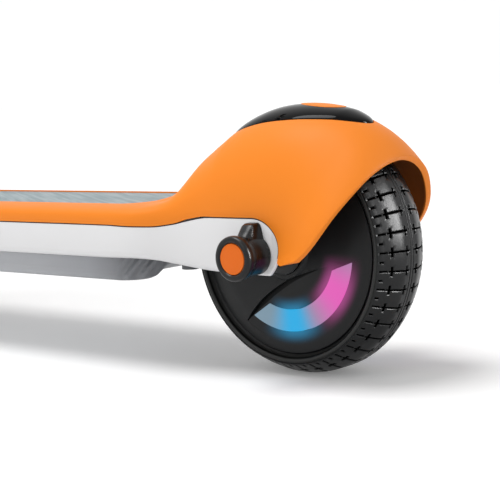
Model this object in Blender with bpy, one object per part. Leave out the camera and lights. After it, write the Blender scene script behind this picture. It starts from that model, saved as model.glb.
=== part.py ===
# Small electric scooter: hub motor in the rear wheel, folding stem, foot brake in the rear hood.
# Sizes are millimetres and become metres when a mesh is made. X forward, Y left, Z up.
# The origin lies on the ground, under the middle of the wheelbase.

from math import cos, degrees, pi, radians, sin, sqrt

import bmesh
import bpy
from mathutils import Vector

# Wheels and stance
WHEEL_RADIUS = 82.5
TYRE_HEIGHT = 14.2
TYRE_HALF_WIDTH = 24.3
BEAD_HALF_WIDTH = 20.2
WHEELBASE = 670.0
TYRE_STEPS = 32
HUB_STEPS = 24

# Fits shared by neighbouring pieces
SEAT_GAP = 0.3
SEAM_GAP = 0.35
RUNNING_GAP = 0.6

# Deck, hood and rails
DECK_TOP = 111.2
DECK_SEAM = 99.8
DECK_HALF_WIDTH = 62.0
NECK_REACH = 170.0
DECK_FRONT = WHEELBASE - NECK_REACH
RAIL_BOTTOM = 78.0
RAIL_THICKNESS = 12.0
ARM_HALF_WIDTH = 50.0
ARM_THICKNESS = 8.0
ARM_BOTTOM = 69.4
ARM_END_X = 2.6
ARM_END_LIFT = 1.0
ARM_END_RADIUS = 21.2
HOOD_WALL = 2.8
RAMP_FOOT = 119.0

# Foot brake in the top of the hood
PEDAL_FRONT = 51.0
PEDAL_REAR = -53.0
PEDAL_WIDEST = 14.0
PEDAL_HALF_WIDTH = 24.0
PEDAL_CROWN = 3.3
PEDAL_DEPTH = 2.0
PEDAL_PIN_ANGLE = radians(57.0)
PEDAL_PIN_LIFT = 2.3
PEDAL_PIN_RADIUS = 0.8
PEDAL_BARREL_RADIUS = 1.6
PEDAL_BARREL_HALF = 10.4
PEDAL_PIN_HALF = 14.5
SHOE_LIFT = 2.9
SHOE_FRONT = -20.0
SHOE_REAR = -42.0
SHOE_HALF_WIDTH = 10.0
INLAY_X = 2.0
INLAY_HALF_LENGTH = 25.0
INLAY_HALF_WIDTH = 11.0
INLAY_PROUD = 0.25
INLAY_DEPTH = 0.8

# Grip mat and battery tray
MAT_HALF_WIDTH = 38.0
MAT_REAR = 112.0
MAT_FRONT = DECK_FRONT - 8.0
MAT_THICKNESS = 1.4
MAT_CORNER = 16.0
TRAY_HALF_WIDTH = 54.0
TRAY_BOTTOM = 62.5
TRAY_REAR = 78.0
TRAY_FRONT = DECK_FRONT - 22.0
TRAY_WALL = 2.5
TRAY_BAY_REAR = 124.0
TRAY_BAY_FRONT = TRAY_FRONT - 22.0
TRAY_SCREWS = (105.0, TRAY_FRONT - 10.0)
WHEEL_CLEARANCE = 4.0
SCREW_RADIUS = 2.0
SCREW_HEAD_RADIUS = 3.6
FLUTE_PITCH = 10.0
FLUTE_DEPTH = 1.2
FLUTE_END = 113.0
PACK_SHARE = 0.753
PACK_TOP = 96.0
CONTROLLER_GAP = 12.0
CONTROLLER_TOP = 90.0
CONTROLLER_FINS = 5
BRACE_HALF_LENGTH = 6.0
PORT_X = DECK_FRONT - 70.0
PORT_Z = 89.6
PORT_RADIUS = 6.5
PORT_SOCKET_RADIUS = 4.0

# Axles, hub and motor
AXLE_RADIUS = 6.0
AXLE_SHOULDER_RADIUS = 7.5
AXLE_HALF_LENGTH = 60.0
BEARING_RADIUS = 16.0
COVER_FACE = 23.2
ROTOR_WALL = 8.3
ROTOR_HALF_WIDTH = 18.3
MAGNET_THICKNESS = 2.6
STATOR_HALF_WIDTH = 13.0
STATOR_TEETH = 12
LIGHT_OUTER_RADIUS = 53.0
LIGHT_INNER_RADIUS = 39.0
LIGHT_PROUD = 0.5
GUIDE_STEPS = 16
RECESS_DEPTH = 1.4
RECESS_RADIUS = 60.0
LIGHT_ANGLES = (-57.0, -67.0, -162.0, -173.0)
BOSS_RADIUS = 10.5
GUIDE_THICKNESS = 1.2
STATOR_ROOT_RADIUS = 40.0
SPOKES = 5

# Axle knobs
KNOB_LENGTH = 23.1
KNOB_RADIUS = 14.2
KNOB_FLANGE_RADIUS = 12.5
KNOB_NECK_RADIUS = 12.0
KNOB_DISC_RADIUS = 9.7
KNOB_FIN_TOP = 19.5

# Steering column, measured along the steering axis from the front axle
RAKE = radians(12.0)
CROWN_HEIGHT = 98.0
FORK_HALF_WIDTH = 46.0
FORK_THICKNESS = 8.0
FORK_BEND = 20.0
HEAD_TUBE_BOTTOM = 114.0
PIN_HEIGHT = 226.0
HEAD_TUBE_TOP = PIN_HEIGHT - 40.0
HEAD_TUBE_RADIUS = 21.0
HEAD_TUBE_BORE = 18.0
CUP_HEIGHT = 3.7
STEERER_RADIUS = 14.3
FENDER_LIFT = 4.0
FENDER_WALL = 2.6
FENDER_HALF_WIDTH = 29.0
FENDER_FRONT = 38.0
FENDER_REAR = -98.0

# Folding joint
PIN_RADIUS = 5.0
CHEEK_RADIUS = 33.0
CHEEK_THICKNESS = 4.4
SLOT_RADIUS = 24.0
SKEWER_RADIUS = 3.0
FOLD_ANGLE = radians(86.0)

# Telescopic stem and handlebar
STEM_RADIUS = 17.0
STEM_WALL = 2.4
STEM_TOP = 560.0
KNUCKLE_HALF_WIDTH = 19.2
SLIDE_RADIUS = 14.0
SLIDE_WALL = 1.8
SLIDE_BOTTOM = 400.0
BAR_HEIGHT = 705.0
BAR_RADIUS = 11.0
BAR_HALF_LENGTH = 192.0
GRIP_RADIUS = 15.0
GRIP_LENGTH = 108.0
SOCKET_RADIUS = 17.0
SOCKET_HALF_LENGTH = 32.0
COLLAR_RADIUS = 21.0
COLLAR_BOTTOM = STEM_TOP - 20.0
COLLAR_LIP = 6.0
COLLAR_SLIT = 1.8
LUG_X = -28.0
LUG_Y = 12.0
LUG_HEIGHT = COLLAR_BOTTOM + 13.0
LUG_HALF_HEIGHT = 7.0
BOLT_RADIUS = 2.5
CROSS_PIN_RADIUS = 1.8

# Controls on the handlebar
POD_HALF_WIDTH = 31.0
POD_TOP = BAR_HEIGHT + 34.0
POD_REAR = -25.0
POD_FRONT = 29.0
LENS_DEPTH = 2.0
LENS_REAR = -3.0
LENS_FRONT = 25.0
LENS_HALF_WIDTH = 22.0
BUTTON_X = -14.0
BUTTON_RADIUS = 6.0
BUTTON_DEPTH = 6.0
BUTTON_TRAVEL = 1.5
CLAMP_RADIUS = 16.0
THROTTLE_Y = GRIP_LENGTH - BAR_HALF_LENGTH + 18.0
LEVER_X = 24.0
LEVER_Y = BAR_HALF_LENGTH - GRIP_LENGTH - 23.0
LEVER_PIN_RADIUS = 2.0

# Side stand
STAND_X = DECK_FRONT - 10.0
STAND_Y = 62.0
STAND_Z = 69.0
STAND_TILT = radians(30.0)
STAND_RADIUS = 5.0
STAND_HUB_RADIUS = 7.0
STAND_HUB_HALF = 5.0
STAND_PIN_RADIUS = 3.0
STAND_FOOT_RADIUS = 7.0

# Values that follow from the ones above
BEAD_RADIUS = WHEEL_RADIUS - TYRE_HEIGHT
COVER_RADIUS = BEAD_RADIUS - 0.9
TYRE_SEAT_RADIUS = BEAD_RADIUS - 1.7
ROTOR_RADIUS = TYRE_SEAT_RADIUS - 0.9
ROTOR_BORE = ROTOR_RADIUS - ROTOR_WALL
STATOR_RADIUS = ROTOR_BORE - MAGNET_THICKNESS - 1.0
ARM_END_Z = WHEEL_RADIUS + ARM_END_LIFT
ARM_TOP = ARM_END_Z + ARM_END_RADIUS
SEAM_RADIUS = ARM_END_RADIUS + SEAM_GAP
KNOB_BASE = ARM_HALF_WIDTH + SEAT_GAP
BEARING_END = COVER_FACE + 1.6
CHEEK_INNER = KNUCKLE_HALF_WIDTH + 0.4
CHEEK_OUTER = CHEEK_INNER + CHEEK_THICKNESS
STEERER_TOP = PIN_HEIGHT - STEM_RADIUS - 5.5
TRAY_TOP = RAIL_BOTTOM - SEAT_GAP
FOLD_FOOT = HEAD_TUBE_TOP + CUP_HEIGHT + RUNNING_GAP
SKEWER_HEIGHT = PIN_HEIGHT + SLOT_RADIUS
FOLD_LEVER_Y = CHEEK_OUTER + 2 * SEAT_GAP + 7.4
TRAY_FLOOR = TRAY_BOTTOM + TRAY_WALL
BAY_HALF_WIDTH = TRAY_HALF_WIDTH - 2 * TRAY_WALL
PEDAL_PIN_X = (WHEEL_RADIUS + PEDAL_PIN_LIFT) * cos(PEDAL_PIN_ANGLE)
PEDAL_PIN_Z = WHEEL_RADIUS + (WHEEL_RADIUS + PEDAL_PIN_LIFT) * sin(PEDAL_PIN_ANGLE)

# Finish of each material: hex colour, roughness, metallic
FINISHES = {
    "orange_plastic": ("F58A26", 0.42, 0.0),
    "white_paint": ("E6E6E7", 0.35, 0.0),
    "black_plastic": ("232526", 0.45, 0.0),
    "gloss_black": ("0E0F10", 0.08, 0.0),
    "rubber": ("1D1E1F", 0.75, 0.0),
    "grip_rubber": ("2B2D2E", 0.8, 0.0),
    "grey_plastic": ("94979B", 0.5, 0.0),
    "deck_mat": ("8F9DA4", 0.8, 0.0),
    "light_lens": ("A9CDF0", 0.3, 0.0),
    "steel": ("9EA2A6", 0.32, 1.0),
    "aluminium": ("B4B7BA", 0.4, 1.0),
    "copper": ("B0683C", 0.4, 1.0),
    "battery_wrap": ("2F5E8C", 0.5, 0.0),
}


# Scene and groups

for old in list(bpy.data.objects):
    bpy.data.objects.remove(old)

GROUPS = {}


def group(name, parent, origin, own_coordinates=False, tilt=0.0):
    """An empty that carries a body. Its pieces are written in its parent's coordinates, or in its own."""
    empty = bpy.data.objects.new(name, None)
    bpy.context.scene.collection.objects.link(empty)
    shift = Vector((0, 0, 0))
    if parent:
        empty.parent, shift = GROUPS[parent]
    empty.location = (Vector(origin) - shift) * 0.001
    empty.rotation_euler = (0.0, -tilt, 0.0)
    GROUPS[name] = (empty, Vector((0, 0, 0)) if own_coordinates else Vector(origin))


group("frame", None, (-WHEELBASE / 2, 0, 0), True)
group("rear_wheel_axis", "frame", (0, 0, WHEEL_RADIUS), True)
group("pedal_axis", "frame", (PEDAL_PIN_X, 0, PEDAL_PIN_Z))
group("stand_axis", "frame", (STAND_X, STAND_Y, STAND_Z))
group("port_axis", "frame", (PORT_X, -DECK_HALF_WIDTH - 3, PORT_Z + 7.2))
group("steering_axis", "frame", (WHEELBASE, 0, WHEEL_RADIUS), True, RAKE)
group("front_wheel_axis", "steering_axis", (0, 0, 0))
group("fold_axis", "steering_axis", (0, 0, PIN_HEIGHT))
group("fold_lever_axis", "fold_axis", (0, FOLD_LEVER_Y, SKEWER_HEIGHT))
group("height_lever_axis", "fold_axis", (LUG_X, LUG_Y + 5.3, LUG_HEIGHT))
group("slide_axis", "fold_axis", (0, 0, STEM_TOP))
group("bar_axis", "slide_axis", (0, 0, BAR_HEIGHT))
group("brake_lever_axis", "slide_axis", (LEVER_X, LEVER_Y, BAR_HEIGHT))
group("button_axis", "slide_axis", (BUTTON_X, 0, POD_TOP))


def material(name):
    """Principled material with the finish of that name."""
    paint = bpy.data.materials.get(name)
    if paint:
        return paint
    colour, roughness, metallic = FINISHES[name]
    paint = bpy.data.materials.new(name)
    paint.use_nodes = True
    shader = paint.node_tree.nodes["Principled BSDF"]
    channels = [int(colour[i:i + 2], 16) / 255 for i in (0, 2, 4)]
    linear = [c / 12.92 if c <= 0.04045 else ((c + 0.055) / 1.055) ** 2.4 for c in channels]
    shader.inputs["Base Color"].default_value = (*linear, 1.0)
    shader.inputs["Roughness"].default_value = roughness
    shader.inputs["Metallic"].default_value = metallic
    paint.diffuse_color = (*linear, 1.0)
    return paint


# Meshes from points

def piece(name, shape, finish, parent, sharp=35.0):
    """One object from a shape, which is points and faces in the coordinates of its group."""
    points, faces = shape
    empty, shift = GROUPS[parent]
    mesh = bpy.data.meshes.new(name)
    mesh.from_pydata([(Vector(p) - shift) * 0.001 for p in points], [], faces)
    work = bmesh.new()
    work.from_mesh(mesh)
    bmesh.ops.recalc_face_normals(work, faces=work.faces)
    work.to_mesh(mesh)
    work.free()
    mesh.shade_smooth()
    mesh.set_sharp_from_angle(angle=radians(sharp))
    made = bpy.data.objects.new(name, mesh)
    bpy.context.scene.collection.objects.link(made)
    made.parent = empty
    if finish:
        mesh.materials.append(material(finish))
    return made


def boolean(target, shape, operation="DIFFERENCE"):
    """Cuts a shape from the target, or adds it, with a hidden tool in the target's group."""
    count = len(target.modifiers) + 1
    tool = piece("%s_tool_%d" % (target.name, count), shape, None, target.parent.name)
    tool.hide_render = True
    tool.display_type = "WIRE"
    step = target.modifiers.new(tool.name, "BOOLEAN")
    step.operation = operation
    step.solver = "EXACT"
    step.object = tool


def together(*shapes):
    """Several separate solids as one shape."""
    points, faces = [], []
    for more_points, more_faces in shapes:
        start = len(points)
        points += more_points
        faces += [tuple(start + i for i in face) for face in more_faces]
    return points, faces


def moved(shape, offset):
    """The shape shifted by an offset."""
    return [tuple(a + b for a, b in zip(p, offset)) for p in shape[0]], shape[1]


def mirrored(shape):
    """The shape on the other side of the centre plane."""
    return [(x, -y, z) for x, y, z in shape[0]], shape[1]


def both_sides(shape):
    """The shape and its mirror image."""
    return together(shape, mirrored(shape))


def revolved(profile, axis="Y", centre=(0, 0, 0), steps=24, ring=True, across_flats=False):
    """Turns (radius, along) points about an axis. A ring is hollow; otherwise both ends are capped."""
    points = []
    grow = 1 / cos(pi / steps) if across_flats else 1.0
    for radius, along in profile:
        for i in range(steps):
            angle = 2 * pi * (i + 0.5) / steps
            u, v = radius * grow * cos(angle), radius * grow * sin(angle)
            turned = {"X": (along, u, v), "Y": (u, along, v), "Z": (u, v, along)}[axis]
            points.append(tuple(a + b for a, b in zip(turned, centre)))
    rows = len(profile)
    faces = []
    for k in range(rows if ring else rows - 1):
        low, high = k * steps, (k + 1) % rows * steps
        for i in range(steps):
            j = (i + 1) % steps
            faces.append((low + i, low + j, high + j, high + i))
    if not ring:
        faces.append(tuple(range(steps)))
        faces.append(tuple(range((rows - 1) * steps, rows * steps)))
    return points, faces


def rod(radius, low, high, axis="Y", centre=(0, 0, 0), steps=16):
    """A plain round bar."""
    return revolved([(radius, low), (radius, high)], axis, centre, steps, ring=False)


def lofted(rings):
    """A skin through rings of equal count, capped at both ends."""
    count = len(rings[0])
    points = [p for ring in rings for p in ring]
    faces = []
    for k in range(len(rings) - 1):
        for i in range(count):
            j = (i + 1) % count
            faces.append((k * count + i, k * count + j, (k + 1) * count + j, (k + 1) * count + i))
    faces.append(tuple(range(count)))
    faces.append(tuple(range(len(points) - count, len(points))))
    return points, faces


def walled(outer, inner):
    """A wall between two grids of points, closed along all four of their edges."""
    rows, columns = len(outer), len(outer[0])
    points = [p for row in outer for p in row] + [p for row in inner for p in row]
    back = rows * columns

    def at(i, j):
        return i * columns + j

    faces = []
    for i in range(rows - 1):
        for j in range(columns - 1):
            quad = (at(i, j), at(i, j + 1), at(i + 1, j + 1), at(i + 1, j))
            faces.append(quad)
            faces.append(tuple(back + k for k in reversed(quad)))
    rim = [at(0, j) for j in range(columns)] + [at(i, columns - 1) for i in range(1, rows)]
    rim += [at(rows - 1, j) for j in range(columns - 2, -1, -1)] + [at(i, 0) for i in range(rows - 2, 0, -1)]
    for a, b in zip(rim, rim[1:] + rim[:1]):
        faces.append((a, b, back + b, back + a))
    return points, faces


def prism(outline, low, high, axis="Y"):
    """A flat outline extruded along an axis; the outline's pairs are the two other coordinates."""
    def corner(u, v, along):
        return {"X": (along, u, v), "Y": (u, along, v), "Z": (u, v, along)}[axis]

    rings = [[corner(u, v, along) for u, v in outline] for along in (low, high)]
    return lofted(rings)


def block(low, high):
    """A box between two corners."""
    outline = [(low[0], low[1]), (high[0], low[1]), (high[0], high[1]), (low[0], high[1])]
    return prism(outline, low[2], high[2], "Z")


def arc(centre, radius, start, end, steps):
    """Points of an arc in degrees, both ends included."""
    angles = [radians(start + (end - start) * i / steps) for i in range(steps + 1)]
    return [(centre[0] + radius * cos(a), centre[1] + radius * sin(a)) for a in angles]


def rounded_box(low, high, radius, steps=3):
    """A box whose upright edges are rounded."""
    outline = []
    corners = ((high[0], high[1], 0), (low[0], high[1], 90), (low[0], low[1], 180), (high[0], low[1], 270))
    for x, y, start in corners:
        cx = x - radius if x == high[0] else x + radius
        cy = y - radius if y == high[1] else y + radius
        outline += arc((cx, cy), radius, start, start + 90, steps)
    return prism(outline, low[2], high[2], "Z")


def smooth_value(table, x):
    """A smooth value at x from (x, value) pairs in rising x, without overshoot."""
    xs = [pair[0] for pair in table]
    ys = [pair[1] for pair in table]
    if x <= xs[0]:
        return ys[0]
    if x >= xs[-1]:
        return ys[-1]
    slopes = [(ys[i + 1] - ys[i]) / (xs[i + 1] - xs[i]) for i in range(len(xs) - 1)]

    def tangent(i):
        if i == 0 or i == len(xs) - 1:
            return slopes[min(i, len(slopes) - 1)]
        before, after = slopes[i - 1], slopes[i]
        return 0.0 if before * after <= 0 else 2 * before * after / (before + after)

    i = max(k for k in range(len(xs) - 1) if xs[k] <= x)
    width = xs[i + 1] - xs[i]
    t = (x - xs[i]) / width
    blend = 3 * t * t - 2 * t ** 3
    return (ys[i] * (1 - blend) + ys[i + 1] * blend
            + width * (tangent(i) * (t - 2 * t * t + t ** 3) + tangent(i + 1) * (t ** 3 - t * t)))


# Lines that the deck, hood, arms and pedal share

# Clearance of the hood's crown over the tyre, by angle round the rear wheel
CROWN_CLEARANCE = [(42, 8.3), (52, 5.2), (62, 4.2), (72, 4.4), (82, 5.0), (93, 5.8), (106, 7.4),
                   (118, 9.8), (128, 12.2), (136, 13.9), (142, 14.6), (146, 14.4)]
# By distance ahead of the rear axle: half-width of the shell, squareness of its cross-section,
# and how far the ramp has turned from a full hood (0) into a nose that stands on the deck (1)
HALF_WIDTHS = [(-80, ARM_HALF_WIDTH), (-30, ARM_HALF_WIDTH), (45, ARM_HALF_WIDTH), (60, 51.0), (75, 54.0),
               (90, 58.5), (105, 61.3), (120, DECK_HALF_WIDTH), (DECK_FRONT, DECK_HALF_WIDTH)]
SQUARENESS = [(-80, 2.25), (45, 2.3), (70, 2.6), (95, 4.2), (RAMP_FOOT, 5.0), (DECK_FRONT, 5.0)]
NOSE_SHARE = [(38, 0.0), (62, 0.35), (84, 0.85), (100, 1.0)]
NOSE_HALF_WIDTH = [(60, 58.0), (80, 44.0), (95, 33.0), (107, 25.0), (RAMP_FOOT, 16.0)]
SEAM_HEIGHTS = [(ARM_END_X, ARM_TOP + SEAM_GAP), (40, ARM_TOP + SEAM_GAP), (56, 103.2), (70, 100.4),
                (85, 98.9), (104, 99.1), (125, DECK_SEAM), (DECK_FRONT, DECK_SEAM)]


def crown_point(angle):
    """Point of the hood's crown line at an angle in degrees round the wheel."""
    radius = WHEEL_RADIUS + smooth_value(CROWN_CLEARANCE, angle)
    return radius * cos(radians(angle)), WHEEL_RADIUS + radius * sin(radians(angle))


def crown_line():
    """The crown line from the tail of the hood, over the wheel and down the ramp to the deck."""
    first, last = CROWN_CLEARANCE[0][0], CROWN_CLEARANCE[-1][0]
    count = 19
    line = [crown_point(last + (first - last) * i / count) for i in range(count + 1)]
    start, before = line[-1], line[-2]
    slope = (start[1] - before[1]) / (start[0] - before[0])
    run = RAMP_FOOT - start[0]
    pulls = [start, (start[0] + run * 0.45, start[1] + run * 0.45 * slope), (RAMP_FOOT - run * 0.22, DECK_TOP),
             (RAMP_FOOT, DECK_TOP)]
    steps = 6
    for i in range(1, steps + 1):
        t = i / steps
        weights = ((1 - t) ** 3, 3 * t * (1 - t) ** 2, 3 * t * t * (1 - t), t ** 3)
        line.append(tuple(sum(w * p[k] for w, p in zip(weights, pulls)) for k in (0, 1)))
    middle = (RAMP_FOOT + DECK_FRONT) / 2
    return line + [(middle, DECK_TOP), (DECK_FRONT, DECK_TOP)]


CROWN = crown_line()
TAIL_X = CROWN[0][0]
TIP_START = -58.0
TIP_ANGLE = 197.0


def seam_point(crown_x):
    """Point of the orange edge that belongs to a rib whose crown lies at crown_x."""
    if crown_x >= ARM_END_X:
        return crown_x, smooth_value(SEAM_HEIGHTS, crown_x)
    if crown_x >= TIP_START:
        angle = radians(90 + (TIP_ANGLE - 90) * (ARM_END_X - crown_x) / (ARM_END_X - TIP_START))
        return ARM_END_X + SEAM_RADIUS * cos(angle), ARM_END_Z + SEAM_RADIUS * sin(angle)
    x0 = ARM_END_X + SEAM_RADIUS * cos(radians(TIP_ANGLE))
    z0 = ARM_END_Z + SEAM_RADIUS * sin(radians(TIP_ANGLE))
    t = (TIP_START - crown_x) / (TIP_START - TAIL_X)
    return x0 - 9.0 * t ** 1.5, z0 - 2.0 * sqrt(t)


def section_rise(share, power):
    """Height of a superellipse section, 0 at its edge and 1 at its crown."""
    return (1 - min(1.0, share) ** power) ** (1 / power)


def rib(crown_x, crown_z, half_count=7):
    """Points of one rib of the orange shell, from its right edge over the crown to its left edge."""
    edge_x, edge_z = seam_point(crown_x)
    width = smooth_value(HALF_WIDTHS, crown_x)
    square = smooth_value(SQUARENESS, crown_x)
    nose = smooth_value(NOSE_SHARE, crown_x)
    nose_width = smooth_value(NOSE_HALF_WIDTH, crown_x)
    bulge = 2.5 * min(1.0, max(0.0, (20 - crown_x) / 60))
    points = []
    for i in range(half_count + 1):
        t = pi / 2 * i / half_count
        share = cos(t) ** (2 / square) if i < half_count else 0.0
        hood = edge_z + (crown_z - edge_z) * section_rise(share, square)
        deck = edge_z + (DECK_TOP - edge_z) * section_rise(share, SQUARENESS[-1][1])
        bell = max(0.0, 1 - (share * width / nose_width) ** 2) ** 2
        z = hood * (1 - nose) + (deck + (crown_z - DECK_TOP) * bell) * nose
        rise = section_rise(share, square)
        x = edge_x + (crown_x - edge_x) * rise ** 0.6
        y = share * width + bulge * sin(pi * rise) * (1 - rise)
        points.append((x, y, z))
    return [(x, -y, z) for x, y, z in points[:-1]] + points[::-1]


def inner_grid(outer, wall):
    """The grid moved inwards by the wall thickness, along its own surface normals."""
    rows, columns = len(outer), len(outer[0])
    inside = []
    for i in range(rows):
        row = []
        for j in range(columns):
            here = Vector(outer[i][j])
            across = Vector(outer[i][min(j + 1, columns - 1)]) - Vector(outer[i][max(j - 1, 0)])
            lengthwise = Vector(outer[min(i + 1, rows - 1)][j]) - Vector(outer[max(i - 1, 0)][j])
            normal = lengthwise.cross(across).normalized()
            if j in (0, columns - 1):
                normal = Vector((0, 1 if normal.y > 0 else -1, 0))
            row.append(tuple(here - normal * wall))
        inside.append(row)
    return inside


def hood_height(x, y):
    """Height of the orange surface near the crown, where the pedal lies."""
    crown = smooth_value(CROWN, x)
    share = min(0.999, abs(y) / smooth_value(HALF_WIDTHS, x))
    power = smooth_value(SQUARENESS, x)
    edge = ARM_TOP + SEAM_GAP
    return edge + (crown - edge) * (1 - share ** power) ** (1 / power)


def pedal_half_width(x, margin=0.0):
    """Half-width of the pedal's outline, seen from above, grown by a margin."""
    if x >= PEDAL_WIDEST:
        share = (x - PEDAL_WIDEST) / (PEDAL_FRONT + margin - PEDAL_WIDEST)
        return (PEDAL_HALF_WIDTH + margin) * sqrt(max(0.0, 1 - share ** 3.2))
    share = (PEDAL_WIDEST - x) / (PEDAL_WIDEST - PEDAL_REAR + margin)
    return (PEDAL_HALF_WIDTH + margin) * sqrt(max(0.0, 1 - share ** 1.5))


def pedal_stations(count, margin=0.0):
    """Places along the pedal, closer together near its two ends."""
    middle = (PEDAL_FRONT + PEDAL_REAR) / 2
    reach = (PEDAL_FRONT - PEDAL_REAR) / 2 + margin
    return [middle + reach * cos(pi * i / count) for i in range(count + 1)]


def make_deck_cover():
    """Orange shell: deck skin, ramp and wheel hood in one moulding, with a window for the pedal."""
    outer = [rib(x, z) for x, z in CROWN]
    cover = piece("deck_cover", walled(outer, inner_grid(outer, HOOD_WALL)), "orange_plastic", "frame")
    boss_centre = (PEDAL_PIN_X, 0, PEDAL_PIN_Z)
    inner_end = PEDAL_BARREL_HALF + 1.5
    bosses = both_sides(rod(PEDAL_BARREL_RADIUS, inner_end, PEDAL_PIN_HALF + 2, centre=boss_centre, steps=10))
    boolean(cover, bosses, "UNION")
    stations = pedal_stations(12, RUNNING_GAP)
    left = [(x, pedal_half_width(x, RUNNING_GAP)) for x in stations]
    right = [(x, -y) for x, y in left[-2:0:-1]]
    boolean(cover, prism(left + right, DECK_TOP + 10, 3 * WHEEL_RADIUS, "Z"))
    low = (MAT_REAR - SEAT_GAP, -MAT_HALF_WIDTH - SEAT_GAP, DECK_TOP + 0.05)
    high = (RAMP_FOOT + 2 * MAT_CORNER, MAT_HALF_WIDTH + SEAT_GAP, DECK_TOP + 5)
    boolean(cover, rounded_box(low, high, MAT_CORNER, 3))
    reach = PEDAL_PIN_HALF + 1
    boolean(cover, rod(PEDAL_PIN_RADIUS + SEAT_GAP, -reach, reach, centre=boss_centre, steps=10))


def pedal_ring(x, crown, depth):
    """One cross-section of the pedal: a domed top and an underside that both follow the hood."""
    half = max(0.8, pedal_half_width(x))
    ring = []
    for i in range(7):
        y = half * cos(pi * i / 6)
        ring.append((x, y, hood_height(x, y) + crown * (1 - 0.75 * (y / half) ** 2)))
    under = [half * share for share in (-0.97, -0.5, 0.5, 0.97)]
    return ring + [(x, y, hood_height(x, y) - depth) for y in under]


def inlay_ring(x, grow, raise_top, lower_bottom):
    """One cross-section of the pedal's oval inlay, or of the pocket for it."""
    share = min(0.999, abs(x - INLAY_X) / (INLAY_HALF_LENGTH + grow))
    half = (INLAY_HALF_WIDTH + grow) * sqrt(1 - share ** 2)
    top = []
    for y in (half, half / 2, 0, -half / 2, -half):
        top.append((x, y, hood_height(x, y) + PEDAL_CROWN * (1 - 0.75 * (y / PEDAL_HALF_WIDTH) ** 2)))
    ring = [(x, y, z + raise_top) for x, y, z in top]
    return ring + [(x, y, z - lower_bottom) for x, y, z in top[::-1]]


def make_pedal():
    """Foot-brake pedal with its moulded hinge pin, its inlay, and the steel shoe over the tyre."""
    rings = []
    inset = [PEDAL_REAR + 0.3] + pedal_stations(10)[-2:0:-1] + [PEDAL_FRONT - 0.3]
    for x in inset:
        end = min(1.0, (x - PEDAL_REAR) / 14, (PEDAL_FRONT - x) / 10)
        rings.append(pedal_ring(x, PEDAL_CROWN * (0.2 + 0.8 * sqrt(end)), PEDAL_DEPTH * (0.4 + 0.6 * end)))
    pedal = piece("brake_pedal", lofted(rings), "gloss_black", "pedal_axis")
    centre = (PEDAL_PIN_X, 0, PEDAL_PIN_Z)
    half = PEDAL_BARREL_HALF
    boolean(pedal, rod(PEDAL_BARREL_RADIUS, -half, half, centre=centre, steps=10), "UNION")
    half = PEDAL_PIN_HALF
    boolean(pedal, rod(PEDAL_PIN_RADIUS, -half, half, centre=centre, steps=10), "UNION")
    places = [INLAY_X + INLAY_HALF_LENGTH * 0.998 * cos(pi * i / 8) for i in range(9)]
    pocket = [inlay_ring(INLAY_X + (x - INLAY_X) * (1 + SEAT_GAP / INLAY_HALF_LENGTH), SEAT_GAP, 2.0,
                         INLAY_DEPTH + SEAT_GAP) for x in places]
    boolean(pedal, lofted(pocket))
    inlay = [inlay_ring(x, 0.0, INLAY_PROUD, INLAY_DEPTH) for x in places]
    piece("pedal_inlay", lofted(inlay), "orange_plastic", "pedal_axis")
    rings = []
    for i in range(7):
        x = SHOE_REAR + (SHOE_FRONT - SHOE_REAR) * i / 6
        low = WHEEL_RADIUS + sqrt((WHEEL_RADIUS + SHOE_LIFT) ** 2 - x * x)
        top = hood_height(x, PEDAL_HALF_WIDTH / 2) - PEDAL_DEPTH - 2 * SEAT_GAP
        rings.append([(x, y, z) for y, z in ((SHOE_HALF_WIDTH, top), (-SHOE_HALF_WIDTH, top),
                                             (-SHOE_HALF_WIDTH, low), (SHOE_HALF_WIDTH, low))])
    piece("brake_shoe", lofted(rings), "steel", "pedal_axis")


def make_grip_mat():
    """Grip mat with rounded corners and a bevelled upper edge."""
    low = (MAT_REAR, -MAT_HALF_WIDTH, DECK_TOP + SEAT_GAP)
    high = (MAT_FRONT, MAT_HALF_WIDTH, DECK_TOP + SEAT_GAP + MAT_THICKNESS)
    mat = piece("grip_mat", rounded_box(low, high, MAT_CORNER, 5), "deck_mat", "frame")
    edge = mat.modifiers.new("edge", "BEVEL")
    edge.width = 0.0005
    edge.segments = 1
    edge.limit_method = "ANGLE"


def rail_top(x):
    """Height of the white rail's upper face, just under the orange edge."""
    if x >= ARM_END_X:
        return smooth_value(SEAM_HEIGHTS, x) - SEAM_GAP
    return ARM_END_Z + sqrt(max(0.0, ARM_END_RADIUS ** 2 - (x - ARM_END_X) ** 2))


RAIL_BOTTOMS = [(30, ARM_BOTTOM), (43, 69.8), (52, 70.5), (60, 71.5), (68, 72.7), (76, 74.1), (86, 76.0),
                (104, RAIL_BOTTOM)]
RAIL_INSIDES = [(58, ARM_HALF_WIDTH - ARM_THICKNESS), (80, 44.5), (100, 48.0),
                (118, DECK_HALF_WIDTH - RAIL_THICKNESS)]


def rail_bottom(x):
    """Height of the rail's lower face."""
    level = smooth_value(RAIL_BOTTOMS, x)
    if x >= ARM_END_X:
        return level
    return max(level, ARM_END_Z - sqrt(max(0.0, ARM_END_RADIUS ** 2 - (x - ARM_END_X) ** 2)))


def rail_ring(x, inset=0.0):
    """Cross-section of the left rail: rounded below, crisp at the seam."""
    out = smooth_value(HALF_WIDTHS, x) - inset
    inside = smooth_value(RAIL_INSIDES, x)
    top, low = rail_top(x) - inset, rail_bottom(x) + inset
    soft = min(1.0, (top - low) / 20)
    pairs = [(inside, top), (inside, low), (out - 6 * soft, low), (out - 2.4 * soft, low + 1.1 * soft),
             (out - 0.5 * soft, low + 3.8 * soft), (out, top - 0.8 * soft), (out - 0.8, top)]
    return [(x, y, z) for y, z in pairs]


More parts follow.
